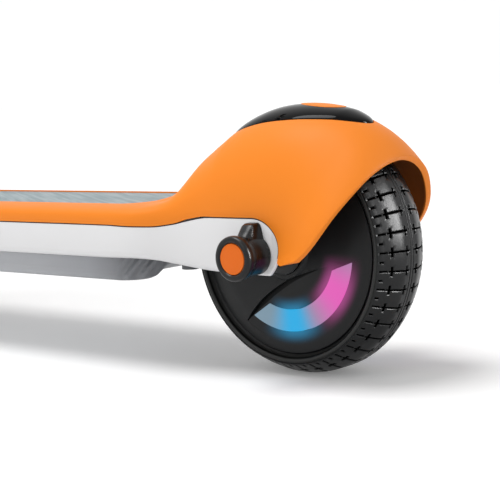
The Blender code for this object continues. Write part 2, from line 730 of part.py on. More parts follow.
def path_ring(x, z, angle, half_width, half_height, square, count=16):
    """A superellipse section across a path that climbs at an angle, in degrees, in the centre plane."""
    tilt = radians(angle)
    ring = []
    for i in range(count):
        t = 2 * pi * (i + 0.5) / count
        c, s = cos(t), sin(t)
        across = half_width * (1 if c > 0 else -1) * abs(c) ** (2 / square)
        up = half_height * (1 if s > 0 else -1) * abs(s) ** (2 / square)
        ring.append((x - up * sin(tilt), across, z + up * cos(tilt)))
    return ring


def steering_to_frame(x, y, along):
    """A point of the steering axis's coordinates, in the frame's coordinates."""
    return (WHEELBASE + x * cos(RAKE) - along * sin(RAKE), y, WHEEL_RADIUS + x * sin(RAKE) + along * cos(RAKE))


def steered_shape(shape):
    """A shape of the steering coordinates, in the frame's coordinates."""
    return [steering_to_frame(*p) for p in shape[0]], shape[1]


def axle_boss():
    """The boss inside a wheel arm or fork leg, which keeps the wheel in the middle."""
    return rod(BOSS_RADIUS, BEARING_END + SEAT_GAP, ARM_HALF_WIDTH - ARM_THICKNESS / 2, steps=10)


def screw_places():
    """Where the tray's screws stand."""
    return [(x, 0, 0) for x in TRAY_SCREWS]


def make_chassis():
    """White frame: two rails that end in the wheel arms, a cross member, the neck and the head tube."""
    end_angles = (86, 76, 62, 46, 30, 14, 0)
    stations = [ARM_END_X - ARM_END_RADIUS * sin(radians(a)) for a in end_angles]
    stations += [20, 34, 42, 50, 58, 66, 74, 82, 92, 102, 120, DECK_FRONT - 12]
    rings = [rail_ring(x) for x in stations] + [rail_ring(DECK_FRONT + 8, 1.2)]
    rail = lofted(rings)
    chassis = piece("chassis", rail, "white_paint", "frame")
    boolean(chassis, mirrored(rail), "UNION")
    middle = (DECK_TOP + RAIL_BOTTOM) / 2
    half = (DECK_TOP - RAIL_BOTTOM) / 2
    head = steering_to_frame(0, 0, (HEAD_TUBE_BOTTOM + HEAD_TUBE_TOP) / 2)
    neck = [path_ring(DECK_FRONT + SEAM_GAP, middle, 0, DECK_HALF_WIDTH, half, 5.0),
            path_ring(DECK_FRONT + 22, middle + 1.5, 7, 59.5, half - 0.5, 4.6),
            path_ring(DECK_FRONT + 42, middle + 9, 28, 52, half - 1.2, 4.0),
            path_ring(DECK_FRONT + 58, middle + 26, 50, 42, half - 1.8, 3.6),
            path_ring(DECK_FRONT + 72, middle + 48, 58, 33, 15, 3.2),
            path_ring(head[0] - 52, head[2] - 62, 58, 27, 15.5, 3.0),
            path_ring(head[0] - 37, head[2] - 36, 56, 22.5, 16, 2.8),
            path_ring(head[0] - 22, head[2] - 15, 48, 18.5, 20, 2.6),
            path_ring(head[0] - 2, head[2], 36, 14, 18, 2.4)]
    boolean(chassis, lofted(neck), "UNION")
    reach = DECK_HALF_WIDTH - RAIL_THICKNESS + 2
    for x in TRAY_SCREWS:
        low = (x - BRACE_HALF_LENGTH, -reach, RAIL_BOTTOM)
        high = (x + BRACE_HALF_LENGTH, reach, DECK_TOP - 2 * HOOD_WALL)
        boolean(chassis, block(low, high), "UNION")
    tube = rod(HEAD_TUBE_RADIUS, HEAD_TUBE_BOTTOM, HEAD_TUBE_TOP, "Z", steps=24)
    boolean(chassis, steered_shape(tube), "UNION")
    bore = rod(HEAD_TUBE_BORE, HEAD_TUBE_BOTTOM - 5, HEAD_TUBE_TOP + 5, "Z", steps=24)
    boolean(chassis, steered_shape(bore))
    centre = (0, 0, WHEEL_RADIUS)
    boolean(chassis, moved(both_sides(axle_boss()), centre), "UNION")
    boolean(chassis, rod(AXLE_RADIUS + SEAT_GAP, -70, 70, centre=centre, steps=12))
    screw_holes = [rod(SCREW_RADIUS + SEAT_GAP, RAIL_BOTTOM - 5, RAIL_BOTTOM + 9, "Z", place, 10)
                   for place in screw_places()]
    boolean(chassis, together(*screw_holes))
    port = rod(PORT_RADIUS + SEAT_GAP, -DECK_HALF_WIDTH - 5, -DECK_HALF_WIDTH + RAIL_THICKNESS + 5,
               centre=(PORT_X, 0, PORT_Z))
    boolean(chassis, port)


def tray_ring(x):
    """Cross-section of the battery tray: flat top, drafted sides, rounded lower edges."""
    low = smooth_value(TRAY_BOTTOMS, x)
    flute = FLUTE_DEPTH * sin(2 * pi * (x - TRAY_REAR) / FLUTE_PITCH) if x < FLUTE_END else 0.0
    half = smooth_value(TRAY_WIDTHS, x) + flute
    top = min(TRAY_TOP, rail_bottom(x) - 2 * SEAT_GAP)
    soft = min(1.0, (top - low) / 15)
    pairs = [(half, top), (half - 1.0 * soft, low + 6 * soft), (half - 2.2 * soft, low + 2.4 * soft),
             (half - 5 * soft, low + 0.4 * soft), (half - 8 * soft, low)]
    return [(x, y, z) for y, z in pairs] + [(x, -y, z) for y, z in pairs[::-1]]


TRAY_BOTTOMS = [(TRAY_REAR, 71.8), (86, 70.8), (94, 67.2), (100, 64.2), (106, TRAY_BOTTOM),
                (TRAY_FRONT - 4, TRAY_BOTTOM), (TRAY_FRONT, 65.0)]
TRAY_WIDTHS = [(TRAY_REAR, 34.0), (82, 42.5), (88, 46.5), (98, 50.0), (112, 52.6), (126, TRAY_HALF_WIDTH),
               (TRAY_FRONT - 16, TRAY_HALF_WIDTH), (TRAY_FRONT, TRAY_HALF_WIDTH - 6)]


def make_battery_bay():
    """Grey tray under the deck with two screws, and the battery and controller inside it."""
    stations = [TRAY_REAR + FLUTE_PITCH / 4 * i for i in range(15)] + [TRAY_BAY_REAR, TRAY_BAY_FRONT]
    stations += [TRAY_FRONT - 16, TRAY_FRONT - 8, TRAY_FRONT - 4, TRAY_FRONT]
    tray = piece("battery_cover", lofted([tray_ring(x) for x in stations]), "grey_plastic", "frame", 28)
    low = (TRAY_BAY_REAR, -BAY_HALF_WIDTH, TRAY_FLOOR)
    boolean(tray, block(low, (TRAY_BAY_FRONT, BAY_HALF_WIDTH, TRAY_TOP + 5)))
    notch = TYRE_HALF_WIDTH + WHEEL_CLEARANCE
    centre = (0, 0, WHEEL_RADIUS)
    boolean(tray, rod(WHEEL_RADIUS + WHEEL_CLEARANCE, -notch, notch, centre=centre, steps=TYRE_STEPS))
    head_top = TRAY_BOTTOM + 4.0
    holes = []
    for place, end in zip(screw_places(), ("rear", "front")):
        hole = [(SCREW_HEAD_RADIUS + SEAT_GAP, TRAY_BOTTOM - 3), (SCREW_HEAD_RADIUS + SEAT_GAP, head_top),
                (SCREW_RADIUS + SEAT_GAP, head_top), (SCREW_RADIUS + SEAT_GAP, TRAY_TOP + 3)]
        holes.append(revolved(hole, "Z", place, 10, False))
        screw = [(SCREW_HEAD_RADIUS, TRAY_BOTTOM + 1), (SCREW_HEAD_RADIUS, head_top - SEAT_GAP),
                 (SCREW_RADIUS, head_top - SEAT_GAP), (SCREW_RADIUS, RAIL_BOTTOM + 8)]
        piece("tray_screw_" + end, revolved(screw, "Z", place, 10, False), "steel", "frame")
    boolean(tray, together(*holes))
    side = BAY_HALF_WIDTH - SEAT_GAP
    base = TRAY_FLOOR + SEAT_GAP
    rear = TRAY_BAY_REAR + SEAT_GAP
    pack_length = PACK_SHARE * (TRAY_BAY_FRONT - TRAY_BAY_REAR)
    pack = rounded_box((rear, -side, base), (rear + pack_length, side, PACK_TOP), 4)
    piece("battery_pack", pack, "battery_wrap", "frame")
    rear += pack_length + CONTROLLER_GAP
    front = TRAY_BAY_FRONT - SEAT_GAP
    fins = [(rear, base), (front, base)]
    pitch = (front - rear) / (2 * CONTROLLER_FINS - 1)
    for i in range(CONTROLLER_FINS):
        ahead = front - 2 * i * pitch
        fins += [(ahead, CONTROLLER_TOP), (ahead - pitch, CONTROLLER_TOP)]
        if i < CONTROLLER_FINS - 1:
            fins += [(ahead - pitch, CONTROLLER_TOP - 6), (ahead - 2 * pitch, CONTROLLER_TOP - 6)]
    piece("motor_controller", prism(fins, -side, side), "aluminium", "frame")


def make_charge_port():
    """Charge socket in the right rail, and the flap that hangs over it from two ears."""
    face = -DECK_HALF_WIDTH - SEAT_GAP
    centre = (PORT_X, 0, PORT_Z)
    bezel = rounded_box((PORT_X - 11, PORT_Z - 8.4, face - 1.2), (PORT_X + 11, PORT_Z + 8.4, face), 3)
    bezel = [(x, z, y) for x, y, z in bezel[0]], bezel[1]
    port = piece("charge_port", bezel, "black_plastic", "frame")
    body = rod(PORT_RADIUS, face - 0.6, -DECK_HALF_WIDTH + RAIL_THICKNESS, centre=centre, steps=12)
    boolean(port, body, "UNION")
    axis_y = -DECK_HALF_WIDTH - 3
    axis_z = PORT_Z + 7.2
    ears = [block((PORT_X + s - 1.2, axis_y - 1.2, axis_z - 1.2), (PORT_X + s + 1.2, face - 0.6, axis_z + 1.2))
            for s in (-6.4, 6.4)]
    boolean(port, together(*ears), "UNION")
    boolean(port, rod(PORT_SOCKET_RADIUS, face - 5, face + 8, centre=centre, steps=12))
    hinge = rod(0.5 + SEAT_GAP, PORT_X - 12, PORT_X + 12, "X", (0, axis_y, axis_z), 8)
    boolean(port, hinge)
    low, high = face - 3.1, face - 1.5
    outline = arc((PORT_X, PORT_Z), PORT_RADIUS, 150, 390, 8) + [(PORT_X + 4.4, axis_z), (PORT_X - 4.4, axis_z)]
    flap = piece("charge_flap", prism(outline, low, high), "rubber", "port_axis")
    boolean(flap, rod(1.0, PORT_X - 4.9, PORT_X + 4.9, "X", (0, axis_y, axis_z), 8), "UNION")
    boolean(flap, rod(0.5, PORT_X - 7.4, PORT_X + 7.4, "X", (0, axis_y, axis_z), 8), "UNION")
    boolean(flap, rod(PORT_SOCKET_RADIUS - 0.8, low + 0.5, face + 1.5, centre=centre, steps=10), "UNION")


def make_deck_parts():
    """Orange shell, pedal, mat, white frame and the battery bay."""
    make_deck_cover()
    make_pedal()
    make_grip_mat()
    make_chassis()
    make_battery_bay()
    make_charge_port()


# Half of the tyre's section: share of its half-width, and depth below the tread
TYRE_SECTION = [(1.0, 10.9), (0.965, 7.9), (0.835, 6.1), (0.58, 2.8), (0.226, 0.0)]


def make_tyre(name, parent):
    """Solid tyre: bead, sidewall, shoulder and a crowned tread with a flat centre rib."""
    half = [(BEAD_RADIUS, BEAD_HALF_WIDTH)]
    half += [(WHEEL_RADIUS - depth, share * TYRE_HALF_WIDTH) for share, depth in TYRE_SECTION]
    low = [(TYRE_SEAT_RADIUS, ROTOR_HALF_WIDTH)] + half
    profile = low + [(r, -y) for r, y in low[::-1]]
    piece(name, revolved(profile, steps=TYRE_STEPS, across_flats=True), "rubber", parent)


def polar(radius, angle):
    """A point at a radius and an angle in degrees."""
    return radius * cos(radians(angle)), radius * sin(radians(angle))


def light_outline(margin=0.0):
    """The light bar seen from the left: an arc with slanted ends."""
    outer, inner = LIGHT_OUTER_RADIUS + margin, LIGHT_INNER_RADIUS - margin
    turn = degrees(margin / LIGHT_OUTER_RADIUS)
    ends = LIGHT_ANGLES
    line = [polar(outer, ends[0] + turn + (ends[3] - ends[0] - 2 * turn) * i / 9) for i in range(10)]
    line += [polar(inner, ends[2] - turn + (ends[1] - ends[2] + 2 * turn) * i / 7) for i in range(8)]
    return line


def recess_outline():
    """The sweeping recess round a light bar: a curved upper edge closed by an arc near the rim."""
    rim = [polar(RECESS_RADIUS, -54 - 122 * i / 9) for i in range(10)]
    sweep = [(-46, -8.0), (-28, -11.4), (-10, -19.2), (9, -30.0), (27, -41.5)]
    return rim + sweep


def turned_half(outline):
    """The outline turned by half a turn about the axle."""
    return [(-x, -z) for x, z in outline]


def on_side(side, shape):
    """The shape as it is on the left (1), or mirrored to the right (-1)."""
    return shape if side > 0 else mirrored(shape)


def make_hub_cover(side, end, parent):
    """Black hub cover with two sweeping recesses, and the light guide that shines through it."""
    seat = BEARING_RADIUS + SEAT_GAP
    back = ROTOR_HALF_WIDTH + SEAT_GAP
    profile = [(seat, back), (COVER_RADIUS - 2, back), (COVER_RADIUS, BEAD_HALF_WIDTH), (52, COVER_FACE),
               (20, COVER_FACE), (18.5, COVER_FACE + 1.6), (seat, COVER_FACE + 1.6)]
    shape = revolved(profile, steps=HUB_STEPS, across_flats=True)
    cover = piece("rear_cover_" + end, on_side(side, shape), "black_plastic", parent)
    face = COVER_FACE - RECESS_DEPTH
    for outline in (recess_outline(), turned_half(recess_outline())):
        boolean(cover, on_side(side, prism(outline, face, COVER_FACE + 4)))
    step = back + GUIDE_THICKNESS + SEAT_GAP
    wide = SEAT_GAP
    groove = [(LIGHT_INNER_RADIUS - wide, back - 3), (LIGHT_OUTER_RADIUS + wide, back - 3),
              (LIGHT_OUTER_RADIUS + wide, step), (LIGHT_INNER_RADIUS - wide, step)]
    boolean(cover, on_side(side, revolved(groove, steps=GUIDE_STEPS)))
    for outline in (light_outline(wide), turned_half(light_outline(wide))):
        boolean(cover, on_side(side, prism(outline, back + 0.5, COVER_FACE + 4)))
    ring = [(LIGHT_INNER_RADIUS + 1, back), (LIGHT_OUTER_RADIUS - 1, back),
            (LIGHT_OUTER_RADIUS - 1, back + GUIDE_THICKNESS), (LIGHT_INNER_RADIUS + 1, back + GUIDE_THICKNESS)]
    guide = piece("light_guide_" + end, on_side(side, revolved(ring, steps=GUIDE_STEPS)), "light_lens", parent)
    for outline in (light_outline(), turned_half(light_outline())):
        boolean(guide, on_side(side, prism(outline, back + 0.6, face + LIGHT_PROUD)), "UNION")


def bearing_ring(low, high):
    """A wheel bearing between two places along the axle."""
    bore = AXLE_SHOULDER_RADIUS + SEAT_GAP
    ring = [(bore, low), (BEARING_RADIUS, low), (BEARING_RADIUS, high), (bore, high)]
    return revolved(ring, steps=16)


def make_rear_wheel():
    """Hub-motor wheel: tyre, rotor with magnets, covers, lights and bearings; stator on a fixed axle."""
    wheel = "rear_wheel_axis"
    make_tyre("rear_tyre", wheel)
    half = ROTOR_HALF_WIDTH
    magnets, long = ROTOR_BORE - MAGNET_THICKNESS, STATOR_HALF_WIDTH
    rotor = [(ROTOR_BORE, -half), (ROTOR_RADIUS, -half), (ROTOR_RADIUS, half), (ROTOR_BORE, half),
             (ROTOR_BORE, long), (magnets, long), (magnets, -long), (ROTOR_BORE, -long)]
    piece("motor_rotor", revolved(rotor, steps=HUB_STEPS, across_flats=True), "steel", wheel)
    make_hub_cover(1, "left", wheel)
    make_hub_cover(-1, "right", wheel)
    bearing = bearing_ring(ROTOR_HALF_WIDTH + SEAT_GAP, BEARING_END)
    piece("rear_bearing_left", bearing, "steel", wheel)
    piece("rear_bearing_right", mirrored(bearing), "steel", wheel)
    outline = []
    for i in range(STATOR_TEETH):
        middle = 360 * i / STATOR_TEETH
        tooth = ((STATOR_ROOT_RADIUS, -9), (STATOR_RADIUS, -9), (STATOR_RADIUS, 9), (STATOR_ROOT_RADIUS, 9))
        outline += [polar(radius, middle + shift) for radius, shift in tooth]
    centre = (0, 0, WHEEL_RADIUS)
    shape = moved(prism(outline, -STATOR_HALF_WIDTH, STATOR_HALF_WIDTH), centre)
    stator = piece("motor_stator", shape, "copper", "frame")
    boolean(stator, rod(AXLE_SHOULDER_RADIUS + SEAT_GAP, -30, 30, centre=centre))


def make_axle(name, parent, centre):
    """Axle with a thick middle that stops at the bosses of the arms."""
    shoulder = BEARING_END - SEAT_GAP
    profile = [(AXLE_RADIUS, -AXLE_HALF_LENGTH), (AXLE_RADIUS, -shoulder), (AXLE_SHOULDER_RADIUS, -shoulder),
               (AXLE_SHOULDER_RADIUS, shoulder), (AXLE_RADIUS, shoulder), (AXLE_RADIUS, AXLE_HALF_LENGTH)]
    piece(name, revolved(profile, centre=centre, steps=12, ring=False), "steel", parent)


def knob_shape():
    """Left axle knob: flange, waist, and a flared end with a round pocket."""
    end = KNOB_BASE + KNOB_LENGTH
    pocket = KNOB_DISC_RADIUS + SEAT_GAP
    profile = [(AXLE_RADIUS + SEAT_GAP, KNOB_BASE), (KNOB_FLANGE_RADIUS, KNOB_BASE),
               (KNOB_FLANGE_RADIUS, KNOB_BASE + 3), (KNOB_NECK_RADIUS, KNOB_BASE + 9), (KNOB_RADIUS, end - 3.5),
               (KNOB_RADIUS - 2, end), (pocket, end - 0.8), (pocket, end - 2.2),
               (AXLE_RADIUS + SEAT_GAP, end - 2.2)]
    return revolved(profile, steps=14)


def fin_shape():
    """The fin that stands on the knob's flange."""
    rings = []
    for y, half, top in ((KNOB_BASE, 8.0, KNOB_FIN_TOP), (KNOB_BASE + 5.0, 7.2, KNOB_FIN_TOP - 0.6),
                         (KNOB_BASE + 8.5, 5.6, KNOB_FIN_TOP - 3.6)):
        pairs = [(-half, 8.0), (half, 8.0), (half * 0.86, top - 2.6), (half * 0.55, top), (-half * 0.55, top),
                 (-half * 0.86, top - 2.6)]
        rings.append([(x, y, z) for x, z in pairs])
    return lofted(rings)


def make_knobs(ends, parent, centre):
    """A pair of axle knobs, and the coloured disc in the end of each."""
    end = KNOB_BASE + KNOB_LENGTH
    disc = rod(KNOB_DISC_RADIUS, end - 1.9, end - 0.7, steps=14)
    for side, word in ((1, "left"), (-1, "right")):
        name = "%s_%s" % (ends, word)
        knob = piece("axle_knob_" + name, moved(on_side(side, knob_shape()), centre), "black_plastic", parent)
        boolean(knob, moved(on_side(side, fin_shape()), centre), "UNION")
        piece("knob_disc_" + name, moved(on_side(side, disc), centre), "orange_plastic", parent)


def make_front_wheel():
    """Front wheel: the same tyre on a spoked rim, and its bearing cartridge."""
    wheel = "front_wheel_axis"
    make_tyre("front_tyre", wheel)
    seat = BEARING_RADIUS + SEAT_GAP
    face = BEARING_END
    rim = [(seat, -face), (20, -face), (23, -8), (50, -7), (57, -ROTOR_HALF_WIDTH),
           (ROTOR_RADIUS, -ROTOR_HALF_WIDTH), (ROTOR_RADIUS, ROTOR_HALF_WIDTH), (57, ROTOR_HALF_WIDTH), (50, 7),
           (23, 8), (20, face), (seat, face)]
    front = piece("front_rim", revolved(rim, steps=HUB_STEPS, across_flats=True), "black_plastic", wheel)
    for i in range(SPOKES):
        middle = 90 + 360 * i / SPOKES
        sides = ((27, -22), (27, 22), (48, 27), (48, -27))
        outline = [polar(radius, middle + turn) for radius, turn in sides]
        boolean(front, prism(outline, -40, 40))
    piece("front_bearing", bearing_ring(-BEARING_END, BEARING_END), "steel", wheel)


def fork_ring(y, along, angle, half_width, half_thick):
    """Section of the fork where its path points at an angle in the plane across the wheel."""
    a = radians(angle)
    ring = []
    corners = ((-1, -0.55), (-0.86, -1), (0.86, -1), (1, -0.55), (1, 0.55), (0.86, 1), (-0.86, 1), (-1, 0.55))
    for x, t in corners:
        ring.append((x * half_width, y + t * half_thick * sin(a), along - t * half_thick * cos(a)))
    return ring


def make_fork():
    """White fork: two legs with round ends joined by an arched crown, and the steerer tube."""
    rings = []
    half = FORK_THICKNESS / 2
    end_radius = ARM_END_RADIUS - 2
    for angle in (82, 58, 34, 12):
        along = -end_radius * sin(radians(angle))
        rings.append(fork_ring(FORK_HALF_WIDTH, along, 90, end_radius * cos(radians(angle)), half))
    for along, width in ((4, end_radius), (26, 17.5), (52, 14.5)):
        rings.append(fork_ring(FORK_HALF_WIDTH, along, 90, width, half))
    for i in range(5):
        angle = 90 * i / 4
        y = FORK_HALF_WIDTH - FORK_BEND * (1 - cos(radians(angle)))
        along = CROWN_HEIGHT - FORK_BEND * (1 - sin(radians(angle)))
        rings.append(fork_ring(y, along, 90 + angle, 15 + 3.0 * i / 4, half + 0.8 * i / 4))
    other = [[(x, -y, along) for x, y, along in ring] for ring in rings[::-1]]
    fork = piece("fork", lofted(rings + other), "white_paint", "steering_axis")
    race = HEAD_TUBE_BOTTOM - CUP_HEIGHT - RUNNING_GAP
    steerer = [(STEERER_RADIUS + 6, CROWN_HEIGHT), (STEERER_RADIUS + 6, CROWN_HEIGHT + 6),
               (STEERER_RADIUS + 3, race), (STEERER_RADIUS, race), (STEERER_RADIUS, STEERER_TOP)]
    boolean(fork, revolved(steerer, "Z", steps=20, ring=False), "UNION")
    boss_low = WHEEL_RADIUS + FENDER_LIFT + FENDER_WALL + SEAT_GAP
    boolean(fork, rod(9, boss_low, CROWN_HEIGHT, "Z", steps=14), "UNION")
    boolean(fork, both_sides(axle_boss()), "UNION")
    boolean(fork, rod(AXLE_RADIUS + SEAT_GAP, -60, 60, steps=12))


# The fender's section: share of its half-width, and drop below its crown
FENDER_SECTION = [(-1, 9), (-0.97, 4.2), (-0.82, 1.2), (-0.4, 0), (0.4, 0), (0.82, 1.2), (0.97, 4.2), (1, 9)]


def make_front_fender():
    """Orange front fender, arched over the tyre and carried under the fork crown."""
    outer, inner = [], []
    radius = WHEEL_RADIUS + FENDER_LIFT
    for i in range(13):
        angle = radians(FENDER_FRONT + (FENDER_REAR - FENDER_FRONT) * i / 12)
        rows = []
        for grow in (FENDER_WALL, 0.0):
            row = []
            for share, drop in FENDER_SECTION:
                half = FENDER_HALF_WIDTH - (0 if grow else FENDER_WALL)
                r = radius + grow - drop
                row.append((r * sin(angle), share * half, r * cos(angle)))
            rows.append(row)
        outer.append(rows[0])
        inner.append(rows[1])
    piece("front_fender", walled(outer, inner), "orange_plastic", "steering_axis")


def make_headset():
    """Bearing cups pressed into both ends of the head tube."""
    bore = STEERER_RADIUS + 0.5
    skirt = HEAD_TUBE_BORE - SEAT_GAP
    flange = HEAD_TUBE_RADIUS + 2
    ends = (("headset_cup_lower", HEAD_TUBE_BOTTOM, -1), ("headset_cup_upper", HEAD_TUBE_TOP, 1))
    for name, end, out in ends:
        seat = end + out * SEAT_GAP
        face = end + out * CUP_HEIGHT
        inside = end - out * 9
        ring = [(bore, face), (flange - 1, face), (flange, seat), (skirt, seat), (skirt, inside),
                (bore, inside)]
        piece(name, steered_shape(revolved(ring, "Z", steps=18)), "steel", "frame")


def cheek_outline():
    """Side view of a hinge cheek: a round head on a tapered foot."""
    head = arc((0, PIN_HEIGHT), CHEEK_RADIUS, -35, 215, 10)
    return head + [(-23, FOLD_FOOT + 4), (-21, FOLD_FOOT), (21, FOLD_FOOT), (23, FOLD_FOOT + 4)]


def slot_outline(radius):
    """Arc slot in which the skewer travels as the stem folds."""
    margin = degrees(radius / SLOT_RADIUS)
    rest, stowed = 90 - margin, 90 + degrees(FOLD_ANGLE) + margin
    line = arc((0, PIN_HEIGHT), SLOT_RADIUS + radius, rest, stowed, 6)
    line += arc((0, PIN_HEIGHT), SLOT_RADIUS - radius, stowed, rest, 6)
    return line


def make_hinge():
    """Folding joint: bracket with slotted cheeks on the steerer, and the pin through them."""
    bore = STEERER_RADIUS + SEAT_GAP
    base = [(bore, FOLD_FOOT), (22, FOLD_FOOT), (CHEEK_OUTER, FOLD_FOOT + 3), (CHEEK_OUTER, FOLD_FOOT + 11),
            (bore, FOLD_FOOT + 11)]
    bracket = piece("hinge_bracket", revolved(base, "Z", steps=16), "black_plastic", "steering_axis")
    cheek = prism(cheek_outline(), CHEEK_INNER, CHEEK_OUTER)
    boolean(bracket, both_sides(cheek), "UNION")
    slot = prism(slot_outline(SKEWER_RADIUS + 0.5), -CHEEK_OUTER - 5, CHEEK_OUTER + 5)
    boolean(bracket, slot)
    centre = (0, 0, PIN_HEIGHT)
    boolean(bracket, rod(PIN_RADIUS + SEAT_GAP, -40, 40, centre=centre, steps=12))
    head = CHEEK_OUTER + SEAT_GAP
    pin = [(PIN_RADIUS + 3, -head - 3), (PIN_RADIUS + 3, -head), (PIN_RADIUS, -head), (PIN_RADIUS, head),
           (PIN_RADIUS + 3, head), (PIN_RADIUS + 3, head + 3)]
    piece("hinge_pin", revolved(pin, centre=centre, steps=12, ring=False), "steel", "steering_axis")


def make_stem():
    """Lower stem: knuckle between the cheeks, tube above it, bored for the sliding tube; and its skewer."""
    low = arc((0, PIN_HEIGHT), STEM_RADIUS, 180, 360, 8)
    outline = low + [(STEM_RADIUS, PIN_HEIGHT + 36), (-STEM_RADIUS, PIN_HEIGHT + 36)]
    knuckle = prism(outline, -KNUCKLE_HALF_WIDTH, KNUCKLE_HALF_WIDTH)
    stem = piece("stem_tube", knuckle, "white_paint", "fold_axis")
    flange = KNUCKLE_HALF_WIDTH - 0.4
    bore = STEM_RADIUS - STEM_WALL
    tube = [(bore, PIN_HEIGHT + 64), (bore, STEM_TOP), (STEM_RADIUS, STEM_TOP), (STEM_RADIUS, PIN_HEIGHT + 44),
            (flange, PIN_HEIGHT + 39), (flange, PIN_HEIGHT + 30)]
    boolean(stem, revolved(tube, "Z", steps=20, ring=False), "UNION")
    boolean(stem, rod(PIN_RADIUS + SEAT_GAP, -40, 40, centre=(0, 0, PIN_HEIGHT), steps=12))
    centre = (0, 0, SKEWER_HEIGHT)
    boolean(stem, rod(SKEWER_RADIUS + SEAT_GAP, -40, 40, centre=centre, steps=10))
    head = CHEEK_OUTER + SEAT_GAP
    rows = [(SKEWER_RADIUS + 3.6, -head - 6), (SKEWER_RADIUS + 4, -head - 5), (SKEWER_RADIUS + 4, -head),
            (SKEWER_RADIUS, -head), (SKEWER_RADIUS, FOLD_LEVER_Y)]
    skewer = piece("clamp_skewer", revolved(rows, centre=centre, steps=10, ring=False), "steel", "fold_axis")
    boolean(skewer, rod(CROSS_PIN_RADIUS, -7.0, 7.0, "X", (0, FOLD_LEVER_Y, SKEWER_HEIGHT), 10), "UNION")


def lever_blade(stations):
    """A lever skin through (along, out, half-width, half-thickness) stations, along X and out along Z."""
    rings = []
    for along, out, half, thick in stations:
        corners = [(half, -thick), (half, thick * 0.6), (half * 0.6, thick)]
        corners += [(-across, up) for across, up in corners[::-1]]
        rings.append([(along, across, out + up) for across, up in corners])
    return lofted(rings)


def make_levers():
    """The two cam levers: one clamps the fold, the other the height."""
    blade = lever_blade([(-5.0, 0, 7.5, 3.0), (-3.0, 0, 7.5, 4.8), (6.0, 0.6, 7.4, 4.6), (14.0, 2.4, 6.0, 2.8),
                         (34.0, 4.4, 5.2, 2.2), (52.0, 7.0, 6.8, 2.2), (60.0, 8.6, 4.6, 1.8)])
    points = [(across, FOLD_LEVER_Y + out, SKEWER_HEIGHT + along) for along, across, out in blade[0]]
    lever = piece("fold_lever", (points, blade[1]), "black_plastic", "fold_lever_axis")
    slot = SKEWER_RADIUS + RUNNING_GAP
    low = (-slot, FOLD_LEVER_Y - 9, SKEWER_HEIGHT - 9)
    boolean(lever, block(low, (slot, FOLD_LEVER_Y + 9, SKEWER_HEIGHT + slot + 0.6)))
    boolean(lever, rod(CROSS_PIN_RADIUS + SEAT_GAP, -12, 12, "X", (0, FOLD_LEVER_Y, SKEWER_HEIGHT), 10))
    pivot = LUG_Y + 5.3
    blade = lever_blade([(-4.6, 0, 6.6, 2.0), (-3.0, 0, 6.6, 3.7), (4.0, 1.6, 6.4, 3.8), (10.0, 5.0, 5.6, 2.4),
                         (18.0, 8.6, 5.0, 2.0), (30.0, 10.4, 5.4, 2.0), (42.0, 9.6, 6.2, 2.0),
                         (48.0, 7.6, 4.2, 1.7)])
    points = [(LUG_X + along, pivot + out, LUG_HEIGHT + across) for along, across, out in blade[0]]
    lever = piece("height_lever", (points, blade[1]), "black_plastic", "height_lever_axis")
    slot = BOLT_RADIUS + RUNNING_GAP
    low = (LUG_X - 9, pivot - 9, LUG_HEIGHT - slot)
    boolean(lever, block(low, (LUG_X + slot + 0.6, pivot + 9, LUG_HEIGHT + slot)))
    pin_hole = CROSS_PIN_RADIUS + SEAT_GAP
    boolean(lever, rod(pin_hole, LUG_HEIGHT - 12, LUG_HEIGHT + 12, "Z", (LUG_X, pivot, 0), 10))


def make_collar():
    """Height clamp: split ring on the stem's rim with two lugs, and the bolt through them."""
    seat = STEM_RADIUS + SEAT_GAP
    lip = SLIDE_RADIUS + SEAT_GAP
    top = STEM_TOP + COLLAR_LIP
    ring = [(seat, COLLAR_BOTTOM), (COLLAR_RADIUS, COLLAR_BOTTOM), (COLLAR_RADIUS, top - 1.5),
            (COLLAR_RADIUS - 1.5, top), (lip, top), (lip, STEM_TOP + SEAT_GAP), (seat, STEM_TOP + SEAT_GAP)]
    collar = piece("height_collar", revolved(ring, "Z", steps=20), "black_plastic", "fold_axis")
    low = (LUG_X - 6, -LUG_Y, LUG_HEIGHT - LUG_HALF_HEIGHT)
    boolean(collar, block(low, (3 - COLLAR_RADIUS, LUG_Y, LUG_HEIGHT + LUG_HALF_HEIGHT)), "UNION")
    slit = COLLAR_SLIT / 2
    boolean(collar, block((LUG_X - 12, -slit, COLLAR_BOTTOM - 5), (-SLIDE_RADIUS, slit, top + 5)))
    centre = (LUG_X, 0, LUG_HEIGHT)
    boolean(collar, rod(BOLT_RADIUS + SEAT_GAP, -30, 30, centre=centre, steps=10))
    head = -LUG_Y - SEAT_GAP
    rows = [(BOLT_RADIUS + 2, head - 3), (BOLT_RADIUS + 2, head), (BOLT_RADIUS, head),
            (BOLT_RADIUS, LUG_Y + 5.3)]
    bolt = piece("collar_bolt", revolved(rows, centre=centre, steps=10, ring=False), "steel", "fold_axis")
    cross = rod(CROSS_PIN_RADIUS, LUG_HEIGHT - 6, LUG_HEIGHT + 6, "Z", (LUG_X, LUG_Y + 5.3, 0), 10)
    boolean(bolt, cross, "UNION")


